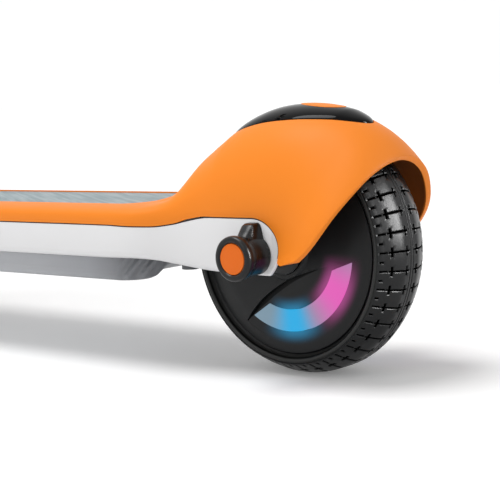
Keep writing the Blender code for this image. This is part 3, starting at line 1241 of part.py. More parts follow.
def make_bars():
    """Sliding tube with the bar socket, the handlebar and its two grips."""
    bore = SLIDE_RADIUS - SLIDE_WALL
    tube = [(bore, BAR_HEIGHT - 25), (bore, SLIDE_BOTTOM), (SLIDE_RADIUS, SLIDE_BOTTOM),
            (SLIDE_RADIUS, BAR_HEIGHT)]
    slide = piece("slide_tube", revolved(tube, "Z", steps=20, ring=False), "aluminium", "slide_axis")
    centre = (0, 0, BAR_HEIGHT)
    socket = rod(SOCKET_RADIUS, -SOCKET_HALF_LENGTH, SOCKET_HALF_LENGTH, centre=centre, steps=20)
    boolean(slide, socket, "UNION")
    boolean(slide, rod(BAR_RADIUS + SEAT_GAP, -50, 50, centre=centre, steps=20))
    tube = [(BAR_RADIUS - 1.8, -BAR_HALF_LENGTH), (BAR_RADIUS, -BAR_HALF_LENGTH), (BAR_RADIUS, BAR_HALF_LENGTH),
            (BAR_RADIUS - 1.8, BAR_HALF_LENGTH)]
    piece("handlebar", revolved(tube, centre=centre, steps=20), "black_plastic", "slide_axis")
    seat = BAR_RADIUS + SEAT_GAP
    end = BAR_HALF_LENGTH + SEAT_GAP
    start = BAR_HALF_LENGTH - GRIP_LENGTH
    outside = [(seat, start), (GRIP_RADIUS + 4, start), (GRIP_RADIUS + 4, start + 3), (GRIP_RADIUS, start + 5)]
    ribs = 2
    pitch = (GRIP_LENGTH - 16) / ribs
    for i in range(ribs):
        low = start + 7 + pitch * i
        outside += [(GRIP_RADIUS + 0.6, low + pitch * 0.3), (GRIP_RADIUS - 0.5, low + pitch * 0.85)]
    outside += [(GRIP_RADIUS, end - 2), (GRIP_RADIUS - 1.5, end + 2.5), (1.0, end + 2.5), (1.0, end),
                (seat, end)]
    grip = moved(revolved(outside, steps=12, across_flats=True), centre)
    piece("grip_left", grip, "grip_rubber", "slide_axis")
    piece("grip_right", mirrored(grip), "grip_rubber", "slide_axis")


def make_controls():
    """Display pod with its button, thumb throttle and brake lever."""
    centre = (0, 0, BAR_HEIGHT)
    pod = rounded_box((POD_REAR, -POD_HALF_WIDTH, BAR_HEIGHT + 8), (POD_FRONT, POD_HALF_WIDTH, POD_TOP), 9, 3)
    housing = piece("display_housing", pod, "black_plastic", "slide_axis")
    edge = housing.modifiers.new("edge", "BEVEL")
    edge.width = 0.0025
    edge.segments = 1
    edge.limit_method = "ANGLE"
    edge.angle_limit = radians(60)
    boolean(housing, rod(SOCKET_RADIUS + SEAT_GAP, -50, 50, centre=centre, steps=20))
    low = POD_TOP - LENS_DEPTH
    corner = (LENS_REAR - SEAT_GAP, -LENS_HALF_WIDTH - SEAT_GAP, low)
    far = (LENS_FRONT + SEAT_GAP, LENS_HALF_WIDTH + SEAT_GAP, POD_TOP + 3)
    boolean(housing, rounded_box(corner, far, 5.3, 3))
    corner = (LENS_REAR, -LENS_HALF_WIDTH, low + SEAT_GAP)
    glass = rounded_box(corner, (LENS_FRONT, LENS_HALF_WIDTH, POD_TOP), 5, 3)
    piece("display_lens", glass, "gloss_black", "slide_axis")
    place = (BUTTON_X, 0, 0)
    boolean(housing, rod(BUTTON_RADIUS + SEAT_GAP, POD_TOP - BUTTON_DEPTH, POD_TOP + 5, "Z", place))
    cap = [(BUTTON_RADIUS, POD_TOP - BUTTON_DEPTH + BUTTON_TRAVEL + SEAT_GAP), (BUTTON_RADIUS, POD_TOP + 1.2),
           (BUTTON_RADIUS - 1, POD_TOP + 1.8)]
    piece("power_button", revolved(cap, "Z", place, 16, False), "orange_plastic", "button_axis")

    seat = BAR_RADIUS + SEAT_GAP
    low, high = THROTTLE_Y, THROTTLE_Y + 12
    ring = [(seat, low), (CLAMP_RADIUS, low), (CLAMP_RADIUS, high), (seat, high)]
    piece("throttle_housing", revolved(ring, centre=centre, steps=16), "black_plastic", "slide_axis")
    inside = THROTTLE_Y - SEAT_GAP
    hub = [(seat, inside - 9), (CLAMP_RADIUS - 1, inside - 9), (CLAMP_RADIUS - 1, inside), (seat, inside)]
    lever = piece("throttle_lever", revolved(hub, centre=centre, steps=16), "orange_plastic", "bar_axis")
    rings = []
    for reach, width, drop, shift in ((13, 4.5, -6, 0), (24, 5.5, -11, 1), (33, 7, -12, 2), (38, 5, -11, 2)):
        y, z = inside - 4.6 + shift, BAR_HEIGHT + drop
        rings.append([(-reach, y - width, z - 2), (-reach, y - width, z + 2), (-reach, y + width, z + 2),
                      (-reach, y + width, z - 2)])
    boolean(lever, lofted(rings), "UNION")

    low, high = LEVER_Y - 8, LEVER_Y + 6
    ring = [(seat, low), (CLAMP_RADIUS, low), (CLAMP_RADIUS, high), (seat, high)]
    clamp = piece("brake_lever_housing", revolved(ring, centre=centre, steps=16), "black_plastic", "slide_axis")
    ears = [block((12, low + 1, BAR_HEIGHT + s - 2.5), (LEVER_X + 7, high - 1, BAR_HEIGHT + s + 2.5))
            for s in (-7, 7)]
    boolean(clamp, together(*ears), "UNION")
    place = (LEVER_X, LEVER_Y, 0)
    boolean(clamp, rod(LEVER_PIN_RADIUS + SEAT_GAP, BAR_HEIGHT - 20, BAR_HEIGHT + 20, "Z", place, 10))
    rings = []
    for along, out, half, thick in ((-5, 0, 3.6, 4.0), (5, 1, 4.0, 4.0), (15, 12, 3.0, 4.0), (35, 15, 2.8, 4.6),
                                    (65, 14, 2.8, 5.2), (79, 11, 2.6, 4.6)):
        x, y = LEVER_X + out, LEVER_Y + along
        rings.append([(x - half, y, BAR_HEIGHT - thick), (x + half, y, BAR_HEIGHT - thick),
                      (x + half, y, BAR_HEIGHT + thick), (x - half, y, BAR_HEIGHT + thick)])
    lever = piece("brake_lever", lofted(rings), "black_plastic", "brake_lever_axis")
    boolean(lever, rod(LEVER_PIN_RADIUS, BAR_HEIGHT - 9.5, BAR_HEIGHT + 9.5, "Z", place, 10), "UNION")


def make_side_stand():
    """Side stand: bracket and stud under the left rail, and the leg with its foot."""
    down = Vector((0, sin(STAND_TILT), -cos(STAND_TILT)))
    axis = Vector((0, cos(STAND_TILT), sin(STAND_TILT)))
    pivot = Vector((STAND_X, STAND_Y, STAND_Z))
    length = STAND_Z / cos(STAND_TILT)

    def leaning(radius, low, high, along):
        sideways = Vector((1, 0, 0))
        third = along.cross(sideways)
        plain = rod(radius, low, high, "Z", steps=12)
        points = [tuple(pivot + sideways * x + third * y + along * z) for x, y, z in plain[0]]
        return points, plain[1]

    inner = STAND_HUB_HALF + SEAT_GAP
    arm = block((STAND_X - 10, 42, STAND_Z - 6), (STAND_X + 10, 53, RAIL_BOTTOM - SEAT_GAP))
    bracket = piece("stand_bracket", arm, "black_plastic", "frame")
    boolean(bracket, leaning(STAND_HUB_RADIUS + 1, -inner - 12, -inner, axis), "UNION")
    boolean(bracket, leaning(STAND_PIN_RADIUS, -inner - 8, inner + 1, axis), "UNION")
    boolean(bracket, leaning(STAND_PIN_RADIUS + 2, inner, inner + 2.4, axis), "UNION")
    leg = piece("stand_leg", leaning(STAND_RADIUS, 0, length - 14, down), "aluminium", "stand_axis")
    boolean(leg, leaning(STAND_HUB_RADIUS, -STAND_HUB_HALF, STAND_HUB_HALF, axis), "UNION")
    boolean(leg, leaning(STAND_PIN_RADIUS + SEAT_GAP, -20, 20, axis))
    boolean(leg, leaning(STAND_FOOT_RADIUS, length - 26, length + 8, down), "UNION")
    boolean(leg, block((STAND_X - 20, STAND_Y, -30), (STAND_X + 20, STAND_Y + 80, 0)))


def build():
    """All pieces of the scooter."""
    make_deck_parts()
    make_rear_wheel()
    make_axle("rear_axle", "frame", (0, 0, WHEEL_RADIUS))
    make_knobs("rear", "frame", (0, 0, WHEEL_RADIUS))
    make_front_wheel()
    make_fork()
    make_axle("front_axle", "steering_axis", (0, 0, 0))
    make_knobs("front", "steering_axis", (0, 0, 0))
    make_front_fender()
    make_headset()
    make_hinge()
    make_stem()
    make_collar()
    make_levers()
    make_bars()
    make_controls()
    make_side_stand()


build()
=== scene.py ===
from math import cos, degrees, exp, pi, radians, sin, sqrt

import bpy
from mathutils import Matrix, Vector


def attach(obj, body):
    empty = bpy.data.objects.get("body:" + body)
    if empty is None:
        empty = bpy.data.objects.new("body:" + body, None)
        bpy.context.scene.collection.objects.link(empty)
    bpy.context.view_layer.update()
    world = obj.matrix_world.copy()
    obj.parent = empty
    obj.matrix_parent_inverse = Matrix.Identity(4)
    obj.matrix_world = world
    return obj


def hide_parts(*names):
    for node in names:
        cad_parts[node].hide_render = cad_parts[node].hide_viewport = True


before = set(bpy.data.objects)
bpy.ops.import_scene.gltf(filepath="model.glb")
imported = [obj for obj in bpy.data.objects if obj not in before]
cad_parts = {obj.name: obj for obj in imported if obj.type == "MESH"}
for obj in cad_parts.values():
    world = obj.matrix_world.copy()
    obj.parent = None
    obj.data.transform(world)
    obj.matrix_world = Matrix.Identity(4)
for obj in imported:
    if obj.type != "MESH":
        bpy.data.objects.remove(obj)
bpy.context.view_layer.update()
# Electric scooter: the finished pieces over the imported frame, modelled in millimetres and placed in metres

print("stage: frame loaded")

# Places: frame pieces count x from the rear axle and z from the ground, wheel pieces from the axle's centre,
# and steering pieces run along the raked steering axis from the front axle
axleHeight = 82.5
wheelbase = 670.0
rake = radians(12.0)
small = Matrix.Scale(0.001, 4)
framePlace = small @ Matrix.Translation((-wheelbase / 2, 0, 0))
rearPlace = small @ Matrix.Translation((-wheelbase / 2, 0, axleHeight))
frontPlace = small @ Matrix.Translation((wheelbase / 2, 0, axleHeight))
steerPlace = frontPlace @ Matrix.Rotation(-rake, 4, "Y")
bodyPlaces = {"frame": framePlace, "pedal": framePlace, "stand": framePlace, "flap": framePlace,
              "rear_wheel": rearPlace, "front_wheel": frontPlace}


# Shading

def hexColour(text):
    channels = [int(text[i:i + 2], 16) / 255 for i in (0, 2, 4)]
    return (*[c / 12.92 if c <= 0.04045 else ((c + 0.055) / 1.055) ** 2.4 for c in channels], 1.0)


def addNode(tree, kind, inputs=None, **settings):
    made = tree.nodes.new(kind)
    for name, value in settings.items():
        setattr(made, name, value)
    for name, value in (inputs or {}).items():
        if isinstance(value, bpy.types.NodeSocket):
            tree.links.new(value, made.inputs[name])
        else:
            made.inputs[name].default_value = value
    return made


def maths(tree, operation, *values, **settings):
    inputs = dict(enumerate(values))
    return addNode(tree, "ShaderNodeMath", inputs, operation=operation, **settings).outputs[0]


def mapped(tree, value, start, end, low, high, blend="LINEAR"):
    # a value carried from the range start to end into the range low to high
    ranges = {"Value": value, "From Min": start, "From Max": end, "To Min": low, "To Max": high}
    return addNode(tree, "ShaderNodeMapRange", ranges, interpolation_type=blend).outputs[0]


def noise(tree, place, scale, detail):
    inputs = {"Vector": place, "Scale": scale, "Detail": detail}
    return addNode(tree, "ShaderNodeTexNoise", inputs).outputs["Fac"]


def attribute(tree, name):
    return addNode(tree, "ShaderNodeAttribute", attribute_name=name).outputs["Fac"]


def feed(tree, shader, **sources):
    for name, source in sources.items():
        tree.links.new(source, shader.inputs[name.replace("_", " ")])


def startMaterial(name, colour, roughness, metallic=0.0, **extra):
    made = bpy.data.materials.new(name)
    made.use_nodes = True
    shader = made.node_tree.nodes["Principled BSDF"]
    shader.inputs["Base Color"].default_value = hexColour(colour)
    shader.inputs["Roughness"].default_value = roughness
    shader.inputs["Metallic"].default_value = metallic
    for key, value in extra.items():
        shader.inputs[key.replace("_", " ")].default_value = value
    made.diffuse_color = hexColour(colour)
    return made, made.node_tree, shader


def grain(tree, shader, size, height, spread=0.0):
    # fine relief with a feature size and height in millimetres; spread varies the gloss over a larger pattern
    place = addNode(tree, "ShaderNodeTexCoord").outputs["Object"]
    bump = {"Height": noise(tree, place, 1000 / size, 3.0), "Strength": 1.0, "Distance": height * 0.001}
    feed(tree, shader, Normal=addNode(tree, "ShaderNodeBump", bump).outputs[0])
    if spread:
        rough = shader.inputs["Roughness"].default_value
        cloud = noise(tree, place, 40.0, 4.0)
        feed(tree, shader, Roughness=mapped(tree, cloud, 0, 1, rough - spread, rough + spread))
    return place


def plainMaterial(name, colour, roughness, metallic=0.0, size=0.4, height=0.006, spread=0.04, **extra):
    made, tree, shader = startMaterial(name, colour, roughness, metallic, **extra)
    grain(tree, shader, size, height, spread)
    return made


def axleAngle(tree):
    # share of half a turn round the rear axle, then the distances from it and from the centre plane
    place = addNode(tree, "ShaderNodeTexCoord").outputs["Object"]
    apart = addNode(tree, "ShaderNodeSeparateXYZ", {"Vector": place}).outputs
    x = maths(tree, "ADD", apart[0], wheelbase / 2000)
    z = maths(tree, "SUBTRACT", apart[2], axleHeight / 1000)
    share = maths(tree, "FRACT", maths(tree, "DIVIDE", maths(tree, "ARCTAN2", z, x), pi))
    flat = addNode(tree, "ShaderNodeCombineXYZ", {0: x, 1: z}).outputs[0]
    away = addNode(tree, "ShaderNodeVectorMath", {0: flat}, operation="LENGTH").outputs["Value"]
    side = maths(tree, "ABSOLUTE", apart[1])
    return share, maths(tree, "MULTIPLY", away, 1000.0), maths(tree, "MULTIPLY", side, 1000.0)


def fillRamp(tree, share, *stops):
    ramp = addNode(tree, "ShaderNodeValToRGB", {"Fac": share})
    while len(ramp.color_ramp.elements) < len(stops):
        ramp.color_ramp.elements.new(0.5)
    for element, (place, colour) in zip(ramp.color_ramp.elements, stops):
        element.position = place
        element.color = hexColour(colour)
    return ramp.outputs["Color"]


def mixColour(tree, share, first, second):
    # each colour is a hex text or the socket of another node
    first, second = (hexColour(c) if isinstance(c, str) else c for c in (first, second))
    return addNode(tree, "ShaderNodeMix", {"Factor": share, 6: first, 7: second}, data_type="RGBA").outputs[2]


# The two coloured lights behind each bar: angle and reach in degrees (in half a turn), colour;
# and the halo of their light, painted on the cover beside the bars as a glow
lamps = {"blue": (84.0, 27.0, "1FAEE8"), "pink": (33.0, 44.0, "E85FBC")}
halo = {"radius": 46.0, "near": 5.0, "far": 17.0, "strength": 0.42, "channelReach": 56.0}


def lampShare(tree, share, name, grow=1.0):
    # 1 at the light's angle, fading smoothly to 0 at its reach
    angle, reach = lamps[name][:2]
    turn = maths(tree, "ABSOLUTE", maths(tree, "MULTIPLY_ADD", share, 180.0, -angle))
    return mapped(tree, turn, 2.0, reach * grow, 1.0, 0.0, "SMOOTHSTEP")


def lampGlow(tree, share, unlit, blueGrow=1.0, pinkGrow=1.0):
    colour = mixColour(tree, lampShare(tree, share, "blue", blueGrow), unlit, lamps["blue"][2])
    return mixColour(tree, lampShare(tree, share, "pink", pinkGrow), colour, lamps["pink"][2])


def lightMaterial():
    # acrylic light guide, lit from behind by a blue and a pink light; frosted grey where neither reaches
    made, tree, shader = startMaterial("acrylic light guide", "16181B", 0.32, Specular_IOR_Level=0.25)
    feed(tree, shader, Emission_Color=lampGlow(tree, axleAngle(tree)[0], "7B95A6"))
    shader.inputs["Emission Strength"].default_value = 0.93
    return made


def coverMaterial():
    # fine-grained black ABS: near black and softly glossy, with a painted glow of the two lights round the
    # bars and painted shade that makes the channel blacker
    made, tree, shader = startMaterial("black ABS hub cover", "151617", 0.4, Specular_IOR_Level=0.22)
    grain(tree, shader, 0.5, 0.008, 0.03)
    share, away, side = axleAngle(tree)
    off = maths(tree, "ABSOLUTE", maths(tree, "SUBTRACT", away, halo["radius"]))
    # painted light: the cover itself glows in the lights' colours in a ring round the bars
    feed(tree, shader, Emission_Color=lampGlow(tree, share, "000000", 1.15, 0.75),
         Emission_Strength=mapped(tree, off, halo["near"], halo["far"], halo["strength"], 0.0,
                                  "SMOOTHERSTEP"))
    # painted shade: darker and less glossy down in the channel
    floor = hub["face"] - hub["recess"]
    paintedShade = mapped(tree, side, floor - 0.5, floor - 0.15, 1.0, 0.0)
    paintedShade = maths(tree, "MULTIPLY", paintedShade, maths(tree, "LESS_THAN", away, halo["channelReach"]))
    feed(tree, shader, Base_Color=mixColour(tree, paintedShade, "151617", "090A0A"),
         Specular_IOR_Level=mapped(tree, paintedShade, 0, 1, 0.22, 0.08))
    return made


def matMaterial():
    # grey rubber mat: pale grey with faint slanting streaks of lighter and darker grey, matt
    made, tree, shader = startMaterial("streaked grey rubber mat", "98A5A9", 0.72)
    place = grain(tree, shader, 1.2, 0.05)
    turn = addNode(tree, "ShaderNodeMapping", {"Vector": place, "Rotation": (0, 0, radians(32))}).outputs[0]
    drawn = addNode(tree, "ShaderNodeMapping", {"Vector": turn, "Scale": (14, 230, 1)}).outputs[0]
    streak = noise(tree, drawn, 1.0, 2.0)
    feed(tree, shader, Base_Color=fillRamp(tree, streak, (0.36, "8B999E"), (0.5, "98A5A9"), (0.64, "A6B1B4")))
    return made


def coverGrey():
    # satin grey ABS of the battery cover, with painted shade that darkens it towards its fluted rear corner
    made, tree, shader = startMaterial("satin grey ABS", "A2A4A8", 0.38)
    apart = addNode(tree, "ShaderNodeSeparateXYZ", {"Vector": grain(tree, shader, 0.6, 0.008)}).outputs
    # painted shade: the grey darkens towards the rear end, where the corner turns away from the light
    along = mapped(tree, apart[0], -0.25, -0.05, 0, 1)
    feed(tree, shader, Base_Color=fillRamp(tree, along, (0.0, "5C5E62"), (0.16, "76787C"), (0.34, "999BA0"),
                                           (0.62, "A9ABAF"), (1.0, "B0B2B6")))
    return made


def tyreMaterial():
    # moulded tyre rubber: charcoal with a soft sheen, slightly dustier in places, and painted shade that
    # blackens it down in the cuts
    made, tree, shader = startMaterial("moulded tyre rubber", "151617", 0.32, Specular_IOR_Level=0.4)
    dust = noise(tree, grain(tree, shader, 0.7, 0.02), 110.0, 4.0)
    bead, paintedShade = attribute(tree, "bead"), attribute(tree, "groove")
    colour = mixColour(tree, bead, fillRamp(tree, dust, (0.3, "0C0D0E"), (0.7, "131416")), "262726")
    # painted shade: near black with no gloss down in the cuts
    feed(tree, shader, Base_Color=mixColour(tree, paintedShade, colour, "030303"),
         Specular_IOR_Level=mapped(tree, paintedShade, 0, 1, 0.26, 0.0))
    return made


def orangeMaterial():
    # satin moulded ABS: clear warm orange with a fine skin that softens highlights, with painted shade in
    # brown inside the hood
    made, tree, shader = startMaterial("moulded orange ABS", "FA8C28", 0.5, Specular_IOR_Level=0.17)
    grain(tree, shader, 0.6, 0.004, 0.04)
    # painted shade: the hood's inner faces turn brown as if shaded
    feed(tree, shader, Base_Color=mixColour(tree, attribute(tree, "inside"), "FA8C28", "8E4A14"))
    return made


materials = {
    "orange_plastic": orangeMaterial(),
    # powder-coated alloy, clean white with a soft gloss
    "white_paint": plainMaterial("white powder coat", "E6E6E7", 0.34, size=0.9, height=0.006, Coat_Weight=0.2,
                                 Coat_Roughness=0.2),
    # grained black ABS of brackets, levers and knobs
    "black_plastic": plainMaterial("grained black ABS", "0F1011", 0.28, size=0.45, height=0.01,
                                   Specular_IOR_Level=0.3),
    # polished black of the pedal and the lens, with a clear reflection
    "gloss_black": plainMaterial("polished black ABS", "040405", 0.06, size=3.0, height=0.0, spread=0.015,
                                 IOR=1.19),
    "rubber": tyreMaterial(),
    # soft grip rubber, dull with a fine skin
    "grip_rubber": plainMaterial("grip rubber", "1B1C1D", 0.6, size=0.5, height=0.03, Specular_IOR_Level=0.3),
    "grey_plastic": coverGrey(),
    "deck_mat": matMaterial(),
    "light_lens": lightMaterial(),
    # turned and pressed steel, bright and slightly brushed
    "steel": plainMaterial("bright steel", "B9BDC1", 0.3, 1.0, size=0.3, height=0.002, spread=0.06),
    # satin anodised tube and fittings
    "aluminium": plainMaterial("anodised aluminium", "BFC2C5", 0.36, 1.0, size=0.3, height=0.002,
                               spread=0.04),
    # enamelled winding wire, dark warm metal
    "copper": plainMaterial("enamelled copper", "A85F36", 0.35, 1.0, size=0.8, height=0.05),
    # heat-shrink wrap of the battery
    "battery_wrap": plainMaterial("heat-shrink wrap", "2F5E8C", 0.4, size=4.0, height=0.05),
}
print("stage: materials made")


# Modelling helpers

axes = {"X": (1, 0, 0), "Y": (0, 1, 0), "Z": (0, 0, 1)}


def selectOnly(piece):
    bpy.ops.object.select_all(action="DESELECT")
    piece.select_set(True)
    bpy.context.view_layer.objects.active = piece


def editAll(piece):
    selectOnly(piece)
    bpy.ops.object.mode_set(mode="EDIT")
    bpy.ops.mesh.select_all(action="SELECT")


def leaveEdit(tolerance=0.001):
    bpy.ops.mesh.select_all(action="SELECT")
    bpy.ops.mesh.remove_doubles(threshold=tolerance)
    bpy.ops.mesh.normals_make_consistent(inside=False)
    bpy.ops.object.mode_set(mode="OBJECT")


def fromPoints(name, points, faces, edges=()):
    mesh = bpy.data.meshes.new(name)
    mesh.from_pydata([tuple(p) for p in points], list(edges), faces)
    piece = bpy.data.objects.new(name, mesh)
    bpy.context.scene.collection.objects.link(piece)
    return piece


def turned(name, profile, axis="Y", steps=96, closed=False, centre=(0, 0, 0)):
    # a profile of (radius, along) pairs spun round an axis; a closed one makes a ring
    spots = []
    for radius, along in profile:
        spot = {"X": (along, radius, 0), "Y": (radius, along, 0), "Z": (radius, 0, along)}[axis]
        spots.append(tuple(a + b for a, b in zip(spot, centre)))
    edges = [(i, i + 1) for i in range(len(spots) - 1)] + ([(len(spots) - 1, 0)] if closed else [])
    piece = fromPoints(name, spots, [], edges)
    editAll(piece)
    bpy.ops.mesh.spin(steps=steps, angle=2 * pi, center=centre, axis=axes[axis])
    leaveEdit()
    return piece


def washer(name, inner, outer, low, high, axis="Y", steps=96, centre=(0, 0, 0)):
    return turned(name, [(inner, low), (outer, low), (outer, high), (inner, high)], axis, steps, True, centre)


def chamfered(inner, outer, low, high, edge=0.6):
    # the profile of a ring or disc whose outer corners are cut
    return [(inner, low), (outer - edge, low), (outer, low + edge), (outer, high - edge),
            (outer - edge, high), (inner, high)]


def bothEnds(rows):
    # a profile and its mirror image across the centre plane
    return rows + [(radius, -along) for radius, along in rows[::-1]]


def rod(name, radius, low, high, axis="Y", centre=(0, 0, 0), steps=64):
    bpy.ops.object.select_all(action="DESELECT")
    bpy.ops.mesh.primitive_cylinder_add(vertices=steps, radius=radius, depth=high - low)
    piece = bpy.context.object
    piece.name = name
    turn = {"X": Matrix.Rotation(pi / 2, 4, "Y"), "Y": Matrix.Rotation(-pi / 2, 4, "X"), "Z": Matrix()}[axis]
    middle = Vector(centre) + Vector(axes[axis]) * (low + high) / 2
    piece.data.transform(Matrix.Translation(middle) @ turn)
    return piece


def slab(name, low, high, radius=0.0, segments=8):
    # a plane whose corners are rounded, drawn up into a block
    bpy.ops.object.select_all(action="DESELECT")
    bpy.ops.mesh.primitive_plane_add(size=1)
    piece = bpy.context.object
    piece.name = name
    editAll(piece)
    bpy.ops.transform.resize(value=(high[0] - low[0], high[1] - low[1], 1))
    bpy.ops.transform.translate(value=((low[0] + high[0]) / 2, (low[1] + high[1]) / 2, low[2]))
    if radius:
        bpy.ops.mesh.bevel(affect="VERTICES", offset=radius, segments=segments)
    bpy.ops.mesh.extrude_region_move(TRANSFORM_OT_translate={"value": (0, 0, high[2] - low[2])})
    leaveEdit()
    return piece


def gridFaces(rows, columns, ringed=True, looped=False):
    # faces of a grid of points: each row is closed where ringed, the last row meets the first where looped
    faces = []
    for k in range(rows if looped else rows - 1):
        here, there = k * columns, (k + 1) % rows * columns
        for i in range(columns if ringed else columns - 1):
            j = (i + 1) % columns
            faces.append((here + i, here + j, there + j, there + i))
    return faces


def lofted(name, rings):
    count, total = len(rings[0]), len(rings[0]) * len(rings)
    faces = gridFaces(len(rings), count) + [tuple(range(count)), tuple(range(total - count, total))]
    piece = fromPoints(name, [p for ring in rings for p in ring], faces)
    editAll(piece)
    leaveEdit()
    return piece


def plate(name, outline, low, high):
    # an outline of (x, z) pairs drawn out along Y
    return lofted(name, [[(x, along, z) for x, z in outline] for along in (low, high)])


def apply(piece, step):
    selectOnly(piece)
    bpy.ops.object.modifier_apply(modifier=step.name)


def combine(piece, tool, operation="DIFFERENCE"):
    step = piece.modifiers.new("shape", "BOOLEAN")
    step.operation = operation
    step.solver = "EXACT"
    step.object = tool
    apply(piece, step)
    bpy.data.objects.remove(tool)


def unite(piece, *tools):
    for tool in tools:
        combine(piece, tool, "UNION")


def drill(piece, radius, low, high, axis="Y", centre=(0, 0, 0), steps=64):
    combine(piece, rod("hole", radius, low, high, axis, centre, steps))


def soften(piece, width, segments=2, angle=35.0):
    step = piece.modifiers.new("edge", "BEVEL")
    step.width = width
    step.segments = segments
    step.limit_method = "ANGLE"
    step.angle_limit = radians(angle)
    step.miter_outer = "MITER_ARC"
    apply(piece, step)
    return piece


def twin(piece, name, matrix=None):
    # a copy with its own mesh, mirrored across the centre plane unless a matrix says otherwise
    other = piece.copy()
    other.data = piece.data.copy()
    other.name = name
    bpy.context.scene.collection.objects.link(other)
    other.data.transform(matrix or Matrix.Scale(-1, 4, (0, 1, 0)))
    if matrix is None:
        other.data.flip_normals()
    return other


def finishPiece(piece, body, slot, *nodes, place=None, sharp=32.0, finish=None):
    piece.data.transform(place or bodyPlaces.get(body, steerPlace))
    piece.data.update()
    selectOnly(piece)
    bpy.ops.object.shade_smooth_by_angle(angle=radians(sharp))
    piece.data.materials.clear()
    piece.data.materials.append(finish or materials[slot])
    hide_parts(*nodes)
    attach(piece, body)


def finishPair(piece, body, slot, node, **settings):
    # a left piece and its mirrored twin, whose names and nodes say right
    other = twin(piece, piece.name.replace("left", "right"))
    finishPiece(piece, body, slot, node, **settings)
    finishPiece(other, body, slot, node.replace("left", "right"), **settings)


def smoothValue(table, x):
    # a smooth value at x from (x, value) pairs in rising x, without overshoot
    xs, ys = zip(*table)
    if x <= xs[0]:
        return ys[0]
    if x >= xs[-1]:
        return ys[-1]
    slopes = [(ys[i + 1] - ys[i]) / (xs[i + 1] - xs[i]) for i in range(len(xs) - 1)]

    def tangent(i):
        if i == 0 or i == len(xs) - 1:
            return slopes[min(i, len(slopes) - 1)]
        before, after = slopes[i - 1], slopes[i]
        return 0.0 if before * after <= 0 else 2 * before * after / (before + after)

    i = max(k for k in range(len(xs) - 1) if xs[k] <= x)
    width = xs[i + 1] - xs[i]
    t = (x - xs[i]) / width
    blend = 3 * t * t - 2 * t ** 3
    return (ys[i] * (1 - blend) + ys[i + 1] * blend
            + width * (tangent(i) * (t - 2 * t * t + t ** 3) + tangent(i + 1) * (t ** 3 - t * t)))


def denser(rows, steps):
    # smooth rows between the given ones
    tables = [[(k, row[c]) for k, row in enumerate(rows)] for c in range(len(rows[0]))]
    places = [i / steps for i in range((len(rows) - 1) * steps + 1)]
    return [tuple(smoothValue(table, place) for table in tables) for place in places]


def spline(knots, steps=8):
    # a smooth line through knots
    made = []
    for k in range(len(knots) - 1):
        a, b, c, d = (knots[max(k - 1, 0)], knots[k], knots[k + 1], knots[min(k + 2, len(knots) - 1)])
        for i in range(steps):
            t = i / steps
            made.append(tuple(0.5 * (2 * b[n] + (c[n] - a[n]) * t
                                     + (2 * a[n] - 5 * b[n] + 4 * c[n] - d[n]) * t ** 2
                                     + (3 * b[n] - a[n] - 3 * c[n] + d[n]) * t ** 3) for n in (0, 1)))
    return made + [knots[-1]]


def polar(radius, angle):
    return radius * cos(radians(angle)), radius * sin(radians(angle))


def arc(centre, radius, start, end, steps):
    spots = [polar(radius, start + (end - start) * i / steps) for i in range(steps + 1)]
    return [(centre[0] + x, centre[1] + y) for x, y in spots]


def oval(halfWidth, halfHeight, square, count=24):
    # a superellipse outline
    made = []
    for i in range(count):
        c, s = cos(2 * pi * (i + 0.5) / count), sin(2 * pi * (i + 0.5) / count)
        made.append((halfWidth * (1 if c > 0 else -1) * abs(c) ** (2 / square),
                     halfHeight * (1 if s > 0 else -1) * abs(s) ** (2 / square)))
    return made


# Lines that the deck, hood, arms and pedal share: the crown runs round the wheel from the tail's angle to the
# ramp's, the arms end in a circle round (armX, armZ), and a seam parts them from the orange shell

deck = {"top": 112.5, "front": 500.0, "railBottom": 76.4, "armX": 2.6, "armZ": 83.5, "armRadius": 21.2,
        "gap": 0.7, "foot": 119.0, "tailAngle": 144.4, "rampAngle": 42.0, "hoodPull": 0.45, "deckPull": 0.22}
hood = {"wall": 2.8, "rim": 1.3, "lip": 0.5, "lean": 0.53, "bulge": 4.6, "bulgeStart": 10, "bulgeLong": 85,
        "bulgePower": 2.3}
hollow = {"x": -51, "z": 49, "depth": 1.5, "width": 12.0, "shift": 9.0, "across": 0.819, "down": 0.574,
          "middle": 4, "flat": 12, "fade": 24}
seam = {"tail": -58, "turn": 100, "out": 5.0, "drop": 2.6}
armTop = deck["armZ"] + deck["armRadius"]
seamTop = armTop + deck["gap"]
crownClearance = [(42, 8.3), (52, 5.2), (62, 4.2), (72, 4.4), (82, 5.0), (93, 5.8), (106, 7.7), (118, 11.0),
                  (128, 13.6), (136, 14.9), (144.4, 15.5)]
halfWidths = [(-80, 56), (-30, 50), (45, 50), (60, 51.0), (75, 54.0), (90, 58.5), (105, 61.3), (120, 62),
              (500, 62)]
squareness = [(-80, 1.92), (-30, 2.25), (45, 2.3), (70, 2.6), (95, 4.2), (119, 6.5), (500, 7.5)]
noseShare = [(38, 0.0), (62, 0.35), (84, 0.85), (100, 1.0)]
noseHalf = [(60, 58.0), (80, 44.0), (95, 33.0), (107, 25.0), (119, 16.0)]
seamHeights = [(deck["armX"], seamTop), (40, seamTop), (56, 103.2), (70, 100.4), (85, 98.9), (104, 99.1),
               (125, 99.8), (500, 99.8)]


def crownPoint(angle):
    x, z = polar(axleHeight + smoothValue(crownClearance, angle), angle)
    return x, axleHeight + z


